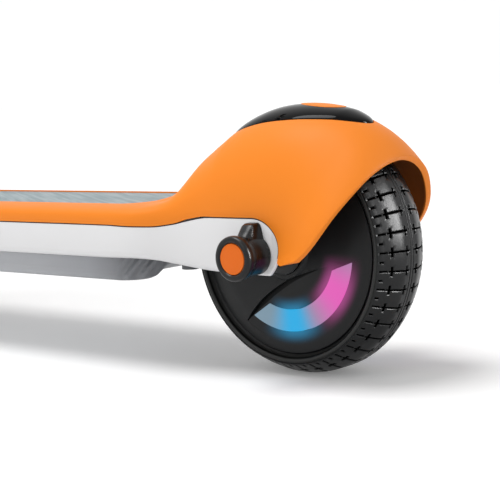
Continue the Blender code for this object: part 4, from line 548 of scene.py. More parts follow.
def crownLine(hoodSteps, rampSteps, deckSteps):
    # hood from the tail forwards, a ramp that leaves it smoothly, and the flat deck
    foot, top, turn = deck["foot"], deck["top"], deck["tailAngle"] - deck["rampAngle"]
    line = [crownPoint(deck["tailAngle"] - turn * i / hoodSteps) for i in range(hoodSteps + 1)]
    start, near = line[-1], crownPoint(deck["rampAngle"] + turn / 19)
    slope = (start[1] - near[1]) / (start[0] - near[0])
    run = foot - start[0]
    pull = run * deck["hoodPull"]
    pulls = [start, (start[0] + pull, start[1] + pull * slope), (foot - run * deck["deckPull"], top),
             (foot, top)]
    for i in range(1, rampSteps + 1):
        t = i / rampSteps
        weights = ((1 - t) ** 3, 3 * t * (1 - t) ** 2, 3 * t * t * (1 - t), t ** 3)
        line.append(tuple(sum(w * p[k] for w, p in zip(weights, pulls)) for k in (0, 1)))
    return line + [(foot + (deck["front"] - foot) * (i + 1) / deckSteps, top) for i in range(deckSteps)]


crown = crownLine(64, 20, 10)
tailX = crown[0][0]


def seamPoint(x):
    if x >= deck["armX"]:
        return x, smoothValue(seamHeights, x)
    # round the arm's end, then on towards the tail
    along = min(1.0, (deck["armX"] - x) / (deck["armX"] - seam["tail"]))
    seamX, seamZ = polar(deck["armRadius"] + deck["gap"], 90 + seam["turn"] * along)
    t = max(0.0, (seam["tail"] - x) / (seam["tail"] - tailX))
    return deck["armX"] + seamX - seam["out"] * t ** 1.5, deck["armZ"] + seamZ - seam["drop"] * sqrt(t)


def sectionRise(share, power):
    return (1 - min(1.0, share) ** power) ** (1 / power)


def hollowDepth(x, z):
    # the shallow hollow that runs down the side of the hood towards its tail
    ahead, above = x - hollow["x"], z - axleHeight - hollow["z"]
    across = (ahead + hollow["shift"]) * hollow["across"] - above * hollow["down"]
    along = -ahead * hollow["down"] - above * hollow["across"]
    past = max(0.0, abs(along - hollow["middle"]) - hollow["flat"]) / hollow["fade"]
    return hollow["depth"] * max(0.0, 1 - past ** 2) * exp(-(across / hollow["width"]) ** 2)


def rib(crownX, crownZ, halfCount):
    # one row of the shell's outer skin, from seam to seam over the crown
    edgeX, edgeZ = seamPoint(crownX)
    width, square = smoothValue(halfWidths, crownX), smoothValue(squareness, crownX)
    nose, noseWidth = smoothValue(noseShare, crownX), smoothValue(noseHalf, crownX)
    swell = min(1.0, max(0.0, (hood["bulgeStart"] - crownX) / hood["bulgeLong"]))
    bulge = hood["bulge"] * swell ** hood["bulgePower"]
    points = []
    for i in range(halfCount + 1):
        share = cos(pi / 2 * i / halfCount) ** (2 / square) if i < halfCount else 0.0
        rise = sectionRise(share, square)
        full = edgeZ + (crownZ - edgeZ) * rise
        flat = edgeZ + (deck["top"] - edgeZ) * sectionRise(share, 5.0)
        bell = max(0.0, 1 - (share * width / noseWidth) ** 2) ** 2
        z = full * (1 - nose) + (flat + (crownZ - deck["top"]) * bell) * nose
        x = edgeX + (crownX - edgeX) * rise ** hood["lean"]
        y = share * width + bulge * sin(pi * rise)
        points.append((x, y - hollowDepth(x, z) * min(1.0, share * 1.6) * min(1.0, rise * 3), z))
    return [(x, -y, z) for x, y, z in points[:-1]] + points[::-1]


def hoodHeight(x, y):
    share = min(0.999, abs(y) / smoothValue(halfWidths, x))
    return seamTop + (smoothValue(crown, x) - seamTop) * sectionRise(share, smoothValue(squareness, x))


# Foot brake with its orange inlay, on a pin under its front end

pedal = {"front": 52.5, "rear": -55.0, "widest": 2.0, "half": 24.3, "crown": 3.3, "arch": 0.75, "depth": 2.0,
         "gap": 0.6, "pinReach": 84.8, "pinAngle": 57.0}
inlay = {"x": -19.5, "long": 16.5, "half": 9.6, "edge": 0.25, "proud": 0.28, "sunk": 0.8}
pinX, pinZ = polar(pedal["pinReach"], pedal["pinAngle"])
pinSpot = (pinX, 0, axleHeight + pinZ)


def pedalHalf(x, margin=0.0):
    end, power = (pedal["front"] + margin, 2.6) if x >= pedal["widest"] else (pedal["rear"] - margin, 1.8)
    share = (x - pedal["widest"]) / (end - pedal["widest"])
    return (pedal["half"] + margin) * sqrt(max(0.0, 1 - share ** power))


def pedalStations(count, margin=0.0):
    middle, reach = (pedal["front"] + pedal["rear"]) / 2, (pedal["front"] - pedal["rear"]) / 2 + margin
    return [middle + reach * cos(pi * i / count) for i in range(count + 1)]


def inlayRing(x):
    half = inlay["half"] * sqrt(1 - min(0.999, abs(x - inlay["x"]) / inlay["long"]) ** 2)
    top = []
    for i in range(13):
        y = half * cos(pi * i / 12)
        drop = inlay["edge"] * (1 - sqrt(max(0.0, 1 - (abs(y) / half) ** 8)))
        lift = pedal["crown"] * (1 - pedal["arch"] * (y / pedal["half"]) ** 2)
        top.append((x, y, hoodHeight(x, y) + lift - drop))
    above, below = inlay["proud"], inlay["sunk"]
    return [(a, b, c + above) for a, b, c in top] + [(a, b, c - below) for a, b, c in top[::-1]]


def makePedal():
    rings = []
    for x in [pedal["front"] - 0.05] + pedalStations(72)[1:-1] + [pedal["rear"] + 0.05]:
        half = max(0.5, pedalHalf(x))
        end = min(1.0, max(0.02, (x - pedal["rear"]) / 14), max(0.02, (pedal["front"] - x) / 10))
        lift = pedal["crown"] * (0.12 + 0.88 * sqrt(end))
        depth = pedal["depth"] * (0.4 + 0.6 * end)
        ring = []
        for i in range(25):
            share = cos(pi * i / 24)
            edge = 0.25 * (1 - abs(share) ** 14)
            level = hoodHeight(x, half * share) + lift * (pedal["arch"] * (1 - share ** 2) + edge)
            ring.append((x, half * share, level))
        for share in (-0.985, -0.94, -0.5, 0, 0.5, 0.94, 0.985):
            ring.append((x, half * share, hoodHeight(x, half * share) - depth))
        rings.append(ring)
    finishPiece(lofted("foot_brake_pedal", rings), "pedal", "gloss_black", "brake_pedal", sharp=38)
    pivot = turned("pedal_pivot", bothEnds([(0, -14.5), (0.8, -14.5), (0.8, -10.4), (1.6, -10.4)]), steps=24,
                   centre=pinSpot)
    finishPiece(pivot, "pedal", "black_plastic", "brake_pedal")
    rings = [inlayRing(inlay["x"] + inlay["long"] * 0.999 * cos(pi * k / 40)) for k in range(41)]
    finishPiece(lofted("pedal_oval", rings), "pedal", "orange_plastic", "pedal_inlay", sharp=40)


# Hood and deck skin, with the pocket of the grip mat

mat = {"rear": 112.0, "front": 492.0, "half": 42.5, "thick": 2.1, "sunk": 1.4, "corner": 16.0}


def makeHood():
    outer = [rib(x, z, 26) for x, z in crown]
    rows, columns = len(outer), len(outer[0])
    inner = []
    for i in range(rows):
        wall = hood["wall"] + hood["rim"] * max(0.0, 1 - i / 10)
        for j in range(columns):
            across = Vector(outer[i][min(j + 1, columns - 1)]) - Vector(outer[i][max(j - 1, 0)])
            lengthwise = Vector(outer[min(i + 1, rows - 1)][j]) - Vector(outer[max(i - 1, 0)][j])
            normal = lengthwise.cross(across).normalized()
            if j in (0, columns - 1):
                normal = Vector((0, 1 if normal.y > 0 else -1, 0))
            inner.append(tuple(Vector(outer[i][j]) - normal * wall))
    back = rows * columns
    faces = []
    for quad in gridFaces(rows, columns, ringed=False):
        faces += [quad, tuple(back + k for k in quad[::-1])]
    rim = list(range(columns)) + [i * columns + columns - 1 for i in range(1, rows)]
    rim += [(rows - 1) * columns + j for j in range(columns - 2, -1, -1)]
    rim += [i * columns for i in range(rows - 2, 0, -1)]
    faces += [(a, b, back + b, back + a) for a, b in zip(rim, rim[1:] + rim[:1])]
    cover = fromPoints("hood_shell", [p for row in outer for p in row] + inner, faces)
    # painted shade: marks the inner faces, which the orange material darkens to brown
    inside = cover.data.attributes.new("inside", "FLOAT", "POINT")
    for i in range(1, rows):
        for j in range(1, columns - 1):
            inside.data[back + i * columns + j].value = 1.0
    editAll(cover)
    leaveEdit()
    soften(cover, 0.35, 2, 55)
    # the pedal's window, with a small lip that follows the hood
    outline = []
    for margin in (pedal["gap"], pedal["gap"] + hood["lip"]):
        left = [(x, pedalHalf(x, margin)) for x in pedalStations(40, margin)]
        outline.append(left + [(x, -y) for x, y in left[-2:0:-1]])
    tight, wide = outline
    rings = [[(x, y, 125.0) for x, y in tight], [(x, y, hoodHeight(x, y) - hood["lip"]) for x, y in tight],
             [(x, y, hoodHeight(x, y) + 0.05) for x, y in wide], [(x, y, 200.0) for x, y in wide]]
    combine(cover, lofted("window", rings))
    combine(cover, slab("pocket", (mat["rear"] - 0.5, -mat["half"] - 0.5, deck["top"] - mat["thick"]),
                        (mat["front"] + 0.5, mat["half"] + 0.5, deck["top"] + 5), mat["corner"] + 0.5, 16))
    drill(cover, 1.1, -15.5, 15.5, centre=pinSpot, steps=20)
    finishPiece(cover, "frame", "orange_plastic", "deck_cover", sharp=40)


def makeMat():
    piece = slab("deck_grip_mat", (mat["rear"], -mat["half"], deck["top"] - mat["thick"] + 0.02),
                 (mat["front"], mat["half"], deck["top"] - mat["sunk"]), mat["corner"], 16)
    finishPiece(soften(piece, 0.4, 2, 60), "frame", "deck_mat", "grip_mat")


def makeSeamShadeStrips():
    # black strip in the seam's gap between the shell and the white frame, standing in as painted shade for
    # the dark gap
    xs = [tailX + 0.5 + (deck["armX"] - tailX) * i / 60 for i in range(61)]
    xs = [x for x in xs if x > -57] + [deck["armX"] + 4 * i for i in range(1, 31)] + [140, 200, 300, 400, 499]
    share = deck["armRadius"] / (deck["armRadius"] + deck["gap"])
    rings = []
    for x in xs:
        outX, outZ = seamPoint(x)
        inX, inZ = outX, outZ - deck["gap"]
        if x < deck["armX"]:
            inX = deck["armX"] + (outX - deck["armX"]) * share
            inZ = deck["armZ"] + (outZ - deck["armZ"]) * share
        half = smoothValue(halfWidths, x) - 0.5
        rings.append([(outX, half, outZ), (outX, half - 1.8, outZ), (inX, half - 1.8, inZ), (inX, half, inZ)])
    finishPair(lofted("edge_seal_left", rings), "frame", "rubber", "deck_cover")


# White frame: two rails that end in the arms, a neck and the head tube

railBottoms = [(30, 69.4), (43, 69.8), (52, 70.5), (60, 71.5), (68, 72.7), (76, 74.1), (86, 75.8),
               (104, 76.8), (130, 76.4)]
railInsides = [(-20, 48.0), (8, 47.6), (34, 44.0), (58, 42.0), (80, 44.5), (100, 48.0), (118, 50.0)]
boss = {"radius": 10.5, "low": 25.1, "hole": 6.3}
head = {"low": 114, "high": 186, "radius": 21, "bore": 18.0, "middle": 150}
trayScrews = (105.0, 468.0)


def railTop(x):
    if x >= deck["armX"]:
        return smoothValue(seamHeights, x) - deck["gap"]
    return deck["armZ"] + sqrt(max(0.0, deck["armRadius"] ** 2 - (x - deck["armX"]) ** 2))


def railBottom(x):
    level = smoothValue(railBottoms, x)
    if x >= deck["armX"]:
        return level
    across = (deck["armX"] - x) / deck["armRadius"]
    curve = 0.9 * deck["armRadius"] * sqrt(max(0.0, 1 - across ** 2))
    return max(level, deck["armZ"] + 4 * across ** 2 - curve)


def railRing(x, inset=0.0):
    out, inside = smoothValue(halfWidths, x) - inset, smoothValue(railInsides, x)
    top, low = railTop(x) - inset, railBottom(x) + inset
    soft = min(1.0, (top - low) / 20)
    rounding = min(6.0, (out - inside) * 0.8) * soft
    pairs = [(inside, top), (inside, low)]
    for i in range(9):
        a = pi / 2 * i / 8
        pairs.append((out - rounding + rounding * sin(a), low + 0.9 * rounding * (1 - cos(a))))
    pairs += [(out, top - 0.7 * soft), (out - 0.2, top - 0.2 * soft), (out - 0.7, top)]
    return [(x, y, z) for y, z in pairs]


def neckRing(x, z, angle, half, high, square):
    tilt = radians(angle)
    return [(x - up * sin(tilt), across, z + up * cos(tilt)) for across, up in oval(half, high, square, 44)]


def makeChassis():
    xs = [deck["armX"] - deck["armRadius"] * sin(radians(90 - 4 * i)) for i in range(2, 23)]
    xs += [deck["armX"] + 5.8 * i for i in range(1, 21)] + [132, 160, 200, 250, 300, 350, 400, 450, 488]
    white = lofted("white_frame", [railRing(x) for x in xs] + [railRing(508, 1.2)])
    unite(white, twin(white, "other_rail"))
    middle, half = (deck["top"] + deck["railBottom"]) / 2, (deck["top"] - deck["railBottom"]) / 2
    headX = wheelbase - head["middle"] * sin(rake)
    headZ = axleHeight + head["middle"] * cos(rake)
    neck = [(500.35, middle, 0, 62.0, half, 5.0), (522, middle + 1.5, 7, 59.5, half - 0.5, 4.6),
            (542, middle + 9, 28, 52, half - 1.2, 4.0), (558, middle + 26, 50, 42, half - 1.8, 3.6),
            (572, middle + 48, 58, 33, 15, 3.2), (headX - 52, headZ - 62, 58, 27, 15.5, 3.0),
            (headX - 37, headZ - 36, 56, 22.5, 16, 2.8), (headX - 22, headZ - 15, 48, 18.5, 20, 2.6),
            (headX - 2, headZ, 36, 14, 18, 2.4)]
    unite(white, lofted("neck", [neckRing(*row) for row in denser(neck, 4)]))
    for x in trayScrews:
        unite(white, slab("brace", (x - 6, -52, 78), (x + 6, 52, 105.6)))
    tube = turned("head", chamfered(0, head["radius"], head["low"], head["high"], 0.8), "Z", 72)
    bore = rod("bore", head["bore"], head["low"] - 5, head["high"] + 5, "Z", steps=72)
    for tool in (tube, bore):
        tool.data.transform(framePlace.inverted() @ steerPlace)
    unite(white, tube)
    combine(white, bore)
    drill(white, boss["hole"], -70, 70, centre=(0, 0, axleHeight), steps=32)
    for x in trayScrews:
        drill(white, 2.3, 73, 87, "Z", (x, 0, 0), 20)
    drill(white, port["body"] + 0.3, -67, -45, centre=(port["x"], 0, port["z"]), steps=32)
    finishPiece(white, "frame", "white_paint", "chassis", sharp=30)


# Battery cover with slanting flutes at its rear corner

tray = {"rear": 93.0, "top": 77.7, "pitch": 11.0, "flute": 1.3, "rake": 0.9, "fluteEnd": 126.0}
trayBottoms = [(93, 74.6), (95, 71.7), (98, 67.6), (101, 64.4), (105, 61.8), (110, 60.3), (118, 59.6),
               (126, 59.4), (474, 59.4), (478, 63.0)]
trayWidths = [(93, 37.0), (97, 39.5), (101, 41.5), (108, 46.0), (117, 51.0), (128, 54.0), (462, 54.0),
              (478, 48.0)]
trayScoops = [(93, 1.0), (98, 4.0), (105, 8.0), (112, 7.0), (126, 2.6), (150, 0.0)]


def trayRun(x):
    # length of the outline from the cover's rear middle to x
    run, steps = trayWidths[0][1], 40
    for i in range(steps):
        a, b = (tray["rear"] + (x - tray["rear"]) * (i + k) / steps for k in (0, 1))
        run += sqrt((b - a) ** 2 + (smoothValue(trayWidths, b) - smoothValue(trayWidths, a)) ** 2)
    return run


def trayRing(x):
    low, half = smoothValue(trayBottoms, x), smoothValue(trayWidths, x)
    top = min(tray["top"], railBottom(x) - 0.6)
    soft = min(1.0, (top - low) / 15)
    wall = low + 6.4 * soft
    pairs = [(half - 0.4 * soft * i / 12, top + (wall - top) * i / 12) for i in range(12)]
    for i in range(9):
        a = pi / 2 * i / 8
        pairs.append((half - 8 * soft + 7.2 * soft * cos(a), low + 6 * soft * (1 - sin(a))))
    # the underside is scooped out towards its rear end
    scoop = smoothValue(trayScoops, x)
    pairs += [(share * pairs[-1][0], low + scoop * (1 - share ** 4)) for share in (0.85, 0.7, 0.5, 0.3, 0.1)]
    slope = (smoothValue(trayWidths, x + 0.2) - smoothValue(trayWidths, x - 0.2)) / 0.4
    run, size = trayRun(x), sqrt(1 + slope * slope)
    made = []
    for y, z in pairs:
        # slanting flutes, square to the outline, that fade towards the underside and along the side
        fade = min(1.0, max(0.0, (tray["fluteEnd"] - x) / 8)) * min(1.0, max(0.0, (y - half + 7) / 6))
        wave = tray["flute"] * fade * cos(2 * pi * (run + z * tray["rake"]) / tray["pitch"])
        made.append((x - wave * slope / size, y + wave / size, z))
    return made + [(a, -b, c) for a, b, c in made[::-1]]


def makeBatteryCover():
    xs = [tray["rear"] + 0.5 * i for i in range(71)]
    xs += [132, 138, 144, 150, 160, 250, 350, 440, 462, 466, 470, 473, 475, 477, 478]
    cover = lofted("battery_cover_shell", [trayRing(x) for x in xs])
    unite(cover, rod("screw_boss", 6.5, 62.4, 75, "Z", (trayScrews[0], 0, 0), 40))
    combine(cover, slab("bay", (126, -49, 63.4), (456, 49, 90)))
    for x in trayScrews:
        drill(cover, 3.9, 57, 66.5, "Z", (x, 0, 0), 32)
        drill(cover, 2.3, 58, 82, "Z", (x, 0, 0), 24)
    finishPiece(cover, "frame", "grey_plastic", "battery_cover", sharp=26)
    rows = [(0, 64.6), (1.6, 64.6), (1.7, 63.5), (3.2, 63.5), (3.6, 63.9), (3.6, 66.2), (2.0, 66.2),
            (2.0, 86), (0, 86)]
    screw = turned("tray_screw_back", rows, "Z", 32)
    ahead = twin(screw, "tray_screw_ahead", Matrix())
    for piece, x, node in ((screw, trayScrews[0], "tray_screw_rear"),
                           (ahead, trayScrews[1], "tray_screw_front")):
        piece.data.transform(Matrix.Translation((x, 0, 0)))
        finishPiece(piece, "frame", "steel", node)


# Charge socket with its rubber flap, in the right rail

port = {"x": 430.0, "z": 89.6, "body": 6.5, "socket": 4.0, "face": -62.3, "axisY": -65.0, "axisZ": 96.8}


def roundRect(low, high, radius, steps=6):
    outline = []
    for x, y, start in ((high[0], high[1], 0), (low[0], high[1], 90), (low[0], low[1], 180),
                        (high[0], low[1], 270)):
        centre = (x - radius if x == high[0] else x + radius, y - radius if y == high[1] else y + radius)
        outline += arc(centre, radius, start, start + 90, steps)
    return outline


def makePort():
    face, x, z = port["face"], port["x"], port["z"]
    centre, pivot = (x, 0, z), (0, port["axisY"], port["axisZ"])
    bezel = plate("charge_socket", roundRect((x - 11, z - 8.4), (x + 11, z + 8.4), 3), face - 1.2, face)
    soften(bezel, 0.35, 2, 50)
    unite(bezel, rod("body", port["body"], face - 0.6, -50, centre=centre, steps=40))
    for shift in (-6.4, 6.4):
        unite(bezel, slab("ear", (x + shift - 1.2, port["axisY"] - 1.2, port["axisZ"] - 1.2),
                          (x + shift + 1.2, face - 0.6, port["axisZ"] + 1.2)))
    drill(bezel, port["socket"], face - 5, face + 8, centre=centre, steps=40)
    drill(bezel, 0.8, x - 12, x + 12, "X", pivot, 16)
    unite(bezel, rod("contact", 1.1, face + 0.5, face + 8.5, centre=centre, steps=20))
    finishPiece(bezel, "frame", "black_plastic", "charge_port")
    outline = arc((x, z), port["body"], 150, 390, 28) + [(x + 4.4, port["axisZ"]), (x - 4.4, port["axisZ"])]
    flap = soften(plate("charge_socket_flap", outline, face - 3.1, face - 1.5), 0.3, 2, 50)
    rows = [(0, -2.6), (3.2, -2.6), (3.2, 0.9), (2.7, 1.5), (1.5, 1.5), (1.5, -1.0), (0, -1.0)]
    unite(flap, rod("barrel", 1.0, x - 4.9, x + 4.9, "X", pivot, 20),
          rod("pin", 0.5, x - 7.4, x + 7.4, "X", pivot, 16),
          turned("plug", [(radius, face + along) for radius, along in rows], steps=32, centre=centre))
    finishPiece(flap, "flap", "rubber", "charge_flap")


# Tyre: one section carried round the wheel, with its grooves, cuts and notches in the grid itself.
# Each kind of cut has its depth, its half width round the wheel and its bands across the tread

tyre = {"radius": 82.5, "blocks": 42, "lip": 0.5, "beadRadius": 73.3, "beadAcross": 20.5, "treadRadius": 70.0,
        "treadAcross": 23.3, "shadeStart": 0.35, "shadeDepth": 0.8}
tyreCrown = [(0, 82.5), (5.5, 82.5), (14.1, 79.7), (20.3, 76.4), (23.45, 74.4), (24.3, 71.6)]
tyreSide = [(23.75, 74.15), (23.8, 73.9), (23.35, 73.5), (23.4, 73.2), (24.0, 72.8), (24.3, 72.0),
            (24.2, 71.3), (23.7, 70.6), (22.8, 70.1), (21.6, 69.5), (20.7, 68.9), (20.2, 68.3), (19.6, 67.6),
            (18.3, 66.6)]
tyreCuts = {"cut": (2.2, 0.6, [(2.4, 17.6), (18.3, 23.1)]), "slot": (2.2, 3.1, [(4.2, 5.6), (14.9, 16.4)]),
            "notch": (1.8, 0.7, [(20.6, 23.1)]), "groove": (0.9, None, [(1.05, 1.55)])}


def trench(place, low, high):
    # 1 on the floor of a cut between low and high, 0 outside its softened lip
    inside = min(place - low, high - place)
    if inside >= 0.1:
        return 1.0
    return 0.15 + 8.5 * inside if inside >= 0 else max(0.0, 0.15 * (1 + inside / tyre["lip"]))


def trenchStops(low, high):
    lip = tyre["lip"]
    return [low - lip, low, low + 0.1, high - 0.1, high, high + lip]


def cutDepth(spot, across, half):
    # notches sit between the blocks, cuts and slots at their middle, and grooves run all the way round
    deepest = 0.0
    for kind, (depth, width, bands) in tyreCuts.items():
        around = 1.0
        if kind == "notch":
            around = trench(half - min(abs(spot - half), abs(spot + half)), half - width, half + width)
        elif width:
            around = trench(spot, -width, width)
        deepest = max(deepest, depth * min(around, max(trench(across, *band) for band in bands)))
    return deepest


def makeTyre():
    half = pi * tyre["radius"] / tyre["blocks"]
    spots = []
    for kind, middle in (("cut", 0), ("slot", 0), ("notch", half)):
        spots += trenchStops(middle - tyreCuts[kind][1], middle + tyreCuts[kind][1])
    spots = sorted({round(s if s <= half else s - 2 * half, 4) for s in spots} | {0.0, 1.9, -1.9})
    stops = {0.0, 8.2, 11.0, 13.2, 19.3, 22.3}
    for cut in tyreCuts.values():
        for band in cut[2]:
            stops |= set(trenchStops(*band))
    stops = sorted(s for s in stops if s <= 23.4)
    stops = [s for k, s in enumerate(stops) if k == 0 or s - stops[k - 1] > 0.04]
    rows = [(s, smoothValue(tyreCrown, s)) for s in stops] + tyreSide
    normals = [(0.0, 1.0)]
    for k in range(1, len(stops)):
        dy, dr = rows[k + 1][0] - rows[k - 1][0], rows[k + 1][1] - rows[k - 1][1]
        normals.append((-dr / sqrt(dy * dy + dr * dr), dy / sqrt(dy * dy + dr * dr)))
    sections = []
    for spot in spots:
        ring = []
        for s, (y, r), (ny, nr) in zip(stops, rows, normals):
            depth = cutDepth(spot, s, half)
            ring.append((y - depth * ny, r - depth * nr))
        ring += tyreSide
        sections.append([(-y, r) for y, r in ring[:0:-1]] + ring)
    points, count = [], 2 * len(rows) - 1
    for block in range(tyre["blocks"]):
        for spot, section in zip(spots, sections):
            angle = (spot + 2 * half * block) / tyre["radius"]
            points += [(r * cos(angle), y, r * sin(angle)) for y, r in section]
    piece = fromPoints("rear_tyre_rubber", points, gridFaces(len(points) // count, count, looped=True))
    editAll(piece)
    leaveEdit(0.0005)
    bead = piece.data.attributes.new("bead", "FLOAT", "POINT")
    groove = piece.data.attributes.new("groove", "FLOAT", "POINT")
    for vertex in piece.data.vertices:
        radius, across = sqrt(vertex.co.x ** 2 + vertex.co.z ** 2), abs(vertex.co.y)
        bead.data[vertex.index].value = radius < tyre["beadRadius"] and across > tyre["beadAcross"]
        # painted shade: how far each point is sunk below the tread, for the material to blacken
        sunk = (smoothValue(tyreCrown, across) - radius - tyre["shadeStart"]) / tyre["shadeDepth"]
        tread = across < tyre["treadAcross"] and radius > tyre["treadRadius"]
        groove.data[vertex.index].value = min(1.0, max(0.0, sunk)) if tread else 0.0
    front = twin(piece, "front_tyre_rubber", Matrix())
    finishPiece(piece, "rear_wheel", "rubber", "rear_tyre", sharp=28)
    finishPiece(front, "front_wheel", "rubber", "front_tyre", sharp=28)


# Hub covers with their sweeping recesses, and the light bars in them

hub = {"face": 23.2, "back": 18.6, "seat": 16.3, "recess": 1.4, "recessRadius": 60.0, "outer": 53.0,
       "inner": 39.0, "proud": 0.5, "channel": 2.5}
sweep = [(-46, -7.6), (-28, -11.0), (-8, -17.0), (6.3, -23.8), (19.4, -32.4), (28.5, -40.8)]
channelUpper = [(35.2, -48.2), (28.5, -40.9), (19.4, -32.5), (6.3, -23.9), (-8, -17.1), (-25, -11.9)]
channelLower = [(-25.4, -12.2), (-18.6, -14.9), (-6.6, -20.2), (6.5, -27.8), (17.0, -35.0), (26, -41.6),
                (34.8, -48.7)]


def barOutline(margin=0.0):
    outer, inner, turn = hub["outer"] + margin, hub["inner"] - margin, degrees(margin / hub["outer"])
    return (arc((0, 0), outer, -57 + turn, -173 - turn, 56) + arc((0, 0), inner, -162 - turn, -67 + turn, 44))


def makeHubCovers():
    back, face = hub["back"], hub["face"]
    profile = [(hub["seat"], back), (65.4, back), (67.4, 20.2), (67.1, 20.55), (64.5, 21.1), (59.5, 21.95),
               (55, 22.75), (52, 23.1), (49, face), (20, face), (18.8, face + 1.4), (18.2, face + 1.6),
               (hub["seat"], face + 1.6)]
    cover = turned("hub_cover_left", profile, steps=144, closed=True)
    floor = face - hub["recess"]
    edge = spline([(-59.85, -4.2)] + sweep + [(35.27, -48.54)])[1:-1]
    recess = arc((0, 0), hub["recessRadius"], -54, -176, 60) + edge
    channel = spline(channelUpper, 10) + spline(channelLower, 10)
    for sign in (1, -1):
        for outline, depth in ((recess, floor), (channel, face - hub["channel"]),
                               (barOutline(0.25), back + 1.4)):
            combine(cover, plate("recess", [(sign * x, sign * z) for x, z in outline], depth, face + 4))
    combine(cover, washer("ledge", 38.7, 53.3, back - 3, back + 1.5))
    soften(cover, 0.22, 2, 38)
    bars = soften(plate("light_bars_left", barOutline(), back + 0.6, floor + hub["proud"]), 0.3, 2, 45)
    unite(bars, twin(bars, "other_bar", Matrix.Rotation(pi, 4, "Y")),
          washer("guide", 40, 52, back, back + 1.2))
    finishPair(cover, "rear_wheel", "black_plastic", "rear_cover_left", sharp=26, finish=coverMaterial())
    finishPair(bars, "rear_wheel", "light_lens", "light_guide_left")


# Axle knobs, made once and copied to both ends of both axles

knob = {"base": 50.3, "length": 23.1}


def makeKnobs():
    # enamelled disc, a deeper orange than the shell
    discFinish = plainMaterial("deep orange enamel", "E86C0A", 0.4, size=0.6, height=0.003,
                               Specular_IOR_Level=0.25)
    base, end = knob["base"], knob["base"] + knob["length"]
    rows = [(6.3, 0), (12.1, 0), (12.5, 0.4), (12.5, 3.0), (12.7, 5), (12.8, 9), (12.9, 12), (13.1, 14.6),
            (13.5, 16.4), (14.0, 17.8), (14.2, 19.0), (14.2, 20.6), (13.9, 21.9), (13.2, 22.7), (12.2, 23.1),
            (11.0, 23.05), (10.4, 22.65), (10.0, 22.2), (10.0, 20.9), (6.3, 20.9)]
    cap = turned("knob_rear_left", [(radius, base + along) for radius, along in rows], steps=72, closed=True)
    rings = []
    for y, half, top in denser([(base, 4.4, 20.2), (base + 4.0, 4.3, 20.1), (base + 6.5, 4.1, 19.5),
                                (base + 8.6, 3.9, 17.6), (base + 11.0, 3.7, 14.8),
                                (base + 13.0, 3.5, 12.8)], 3):
        side = [(7.8, 7.0), (6.8, 11.5 - (20.2 - top) * 0.15), (half + 1.0, top - 2.6),
                (half + 0.2, top - 0.8), (half - 1.0, top)]
        rings.append([(-7.8, y, 7.0)] + [(x, y, z) for x, z in side] + [(-x, y, z) for x, z in side[:0:-1]])
    unite(cap, lofted("fin", rings))
    soften(cap, 0.7, 3, 30)
    rows = [(0, -1.9), (9.4, -1.9), (9.7, -1.6), (9.7, -1.0), (9.5, -0.75), (9.0, -0.7), (0, -0.6)]
    disc = turned("knob_cap_rear_left", [(radius, end + along) for radius, along in rows], steps=64)
    for piece, kind, slot, finish in ((cap, "axle_knob_", "black_plastic", None),
                                      (disc, "knob_disc_", "orange_plastic", discFinish)):
        ahead = twin(piece, piece.name.replace("rear", "front"), Matrix())
        finishPair(ahead, "steering", slot, kind + "front_left", sharp=40, finish=finish)
        finishPair(piece, "frame", slot, kind + "rear_left", place=rearPlace, sharp=40, finish=finish)


def makeSpacers():
    # black sleeves with dust washers, between the wheels and the arms or fork legs
    for kind, end, place, body, node in (("rear", 47.3, rearPlace, "frame", "chassis"),
                                         ("front", 41.9, steerPlace, "steering", "fork")):
        rows = [(boss["hole"], 0), (15.7, 0), (16.0, 0.3), (16.0, 1.0), (15.2, 1.7), (11.2, 2.3),
                (boss["radius"], 3.0)]
        rows = [(radius, boss["low"] + along) for radius, along in rows]
        rows += [(boss["radius"], end - 1.3), (boss["radius"] - 0.6, end), (boss["hole"], end)]
        sleeve = turned("axle_spacer_%s_left" % kind, rows, steps=48, closed=True)
        finishPair(sleeve, body, "black_plastic", node, place=place)


# Front rim with five windows

def makeRim():
    profile = [(16.3, -24.8), (19.2, -24.8), (20, -24), (20.6, -20), (22, -12), (24, -8.6), (27, -7.6),
               (46, -7.2), (50, -8), (53, -11), (55.5, -15.5), (57, -17.6), (58.5, -18.3), (64.8, -18.3),
               (65.7, -17.6)]
    rim = turned("front_wheel_rim", bothEnds(profile), steps=120, closed=True)
    corners = [(28, 0), (28.4, 14), (31.5, 20.5), (42.5, 25), (46.6, 21), (47.3, 0)]
    corners += [(radius, -angle) for radius, angle in corners[-2::-1]]
    for middle in range(90, 450, 72):
        outline = spline([polar(radius, middle + angle) for radius, angle in corners], 6)[:-1]
        combine(rim, plate("window", outline, -40, 40))
    soften(rim, 0.8, 3, 50)
    finishPiece(rim, "front_wheel", "black_plastic", "front_rim", sharp=36)
    rows = [(7.8, -24.8), (10.2, -24.8), (10.6, -24.3), (13.2, -24.3), (13.6, -24.8), (16, -24.8)]
    bearing = turned("front_wheel_bearing", bothEnds(rows), steps=64, closed=True)
    finishPiece(bearing, "front_wheel", "steel", "front_bearing")


# Fork, headset and fender

fork = {"half": 46.0, "thick": 8.0, "bend": 20.0, "crown": 98.0, "end": 19.2}
fender = {"lift": 4.0, "wall": 2.6, "half": 29.0, "start": 38.0, "end": -98.0}
fenderSection = [(-1, 9), (-0.995, 6.5), (-0.97, 4.2), (-0.91, 2.4), (-0.82, 1.2), (-0.66, 0.5), (-0.4, 0.1),
                 (0, 0)]


def forkRing(y, along, angle, halfWidth, halfThick):
    a = radians(angle)
    return [(u, y + t * sin(a), along - t * cos(a)) for u, t in oval(halfWidth, halfThick, 3.4, 28)]


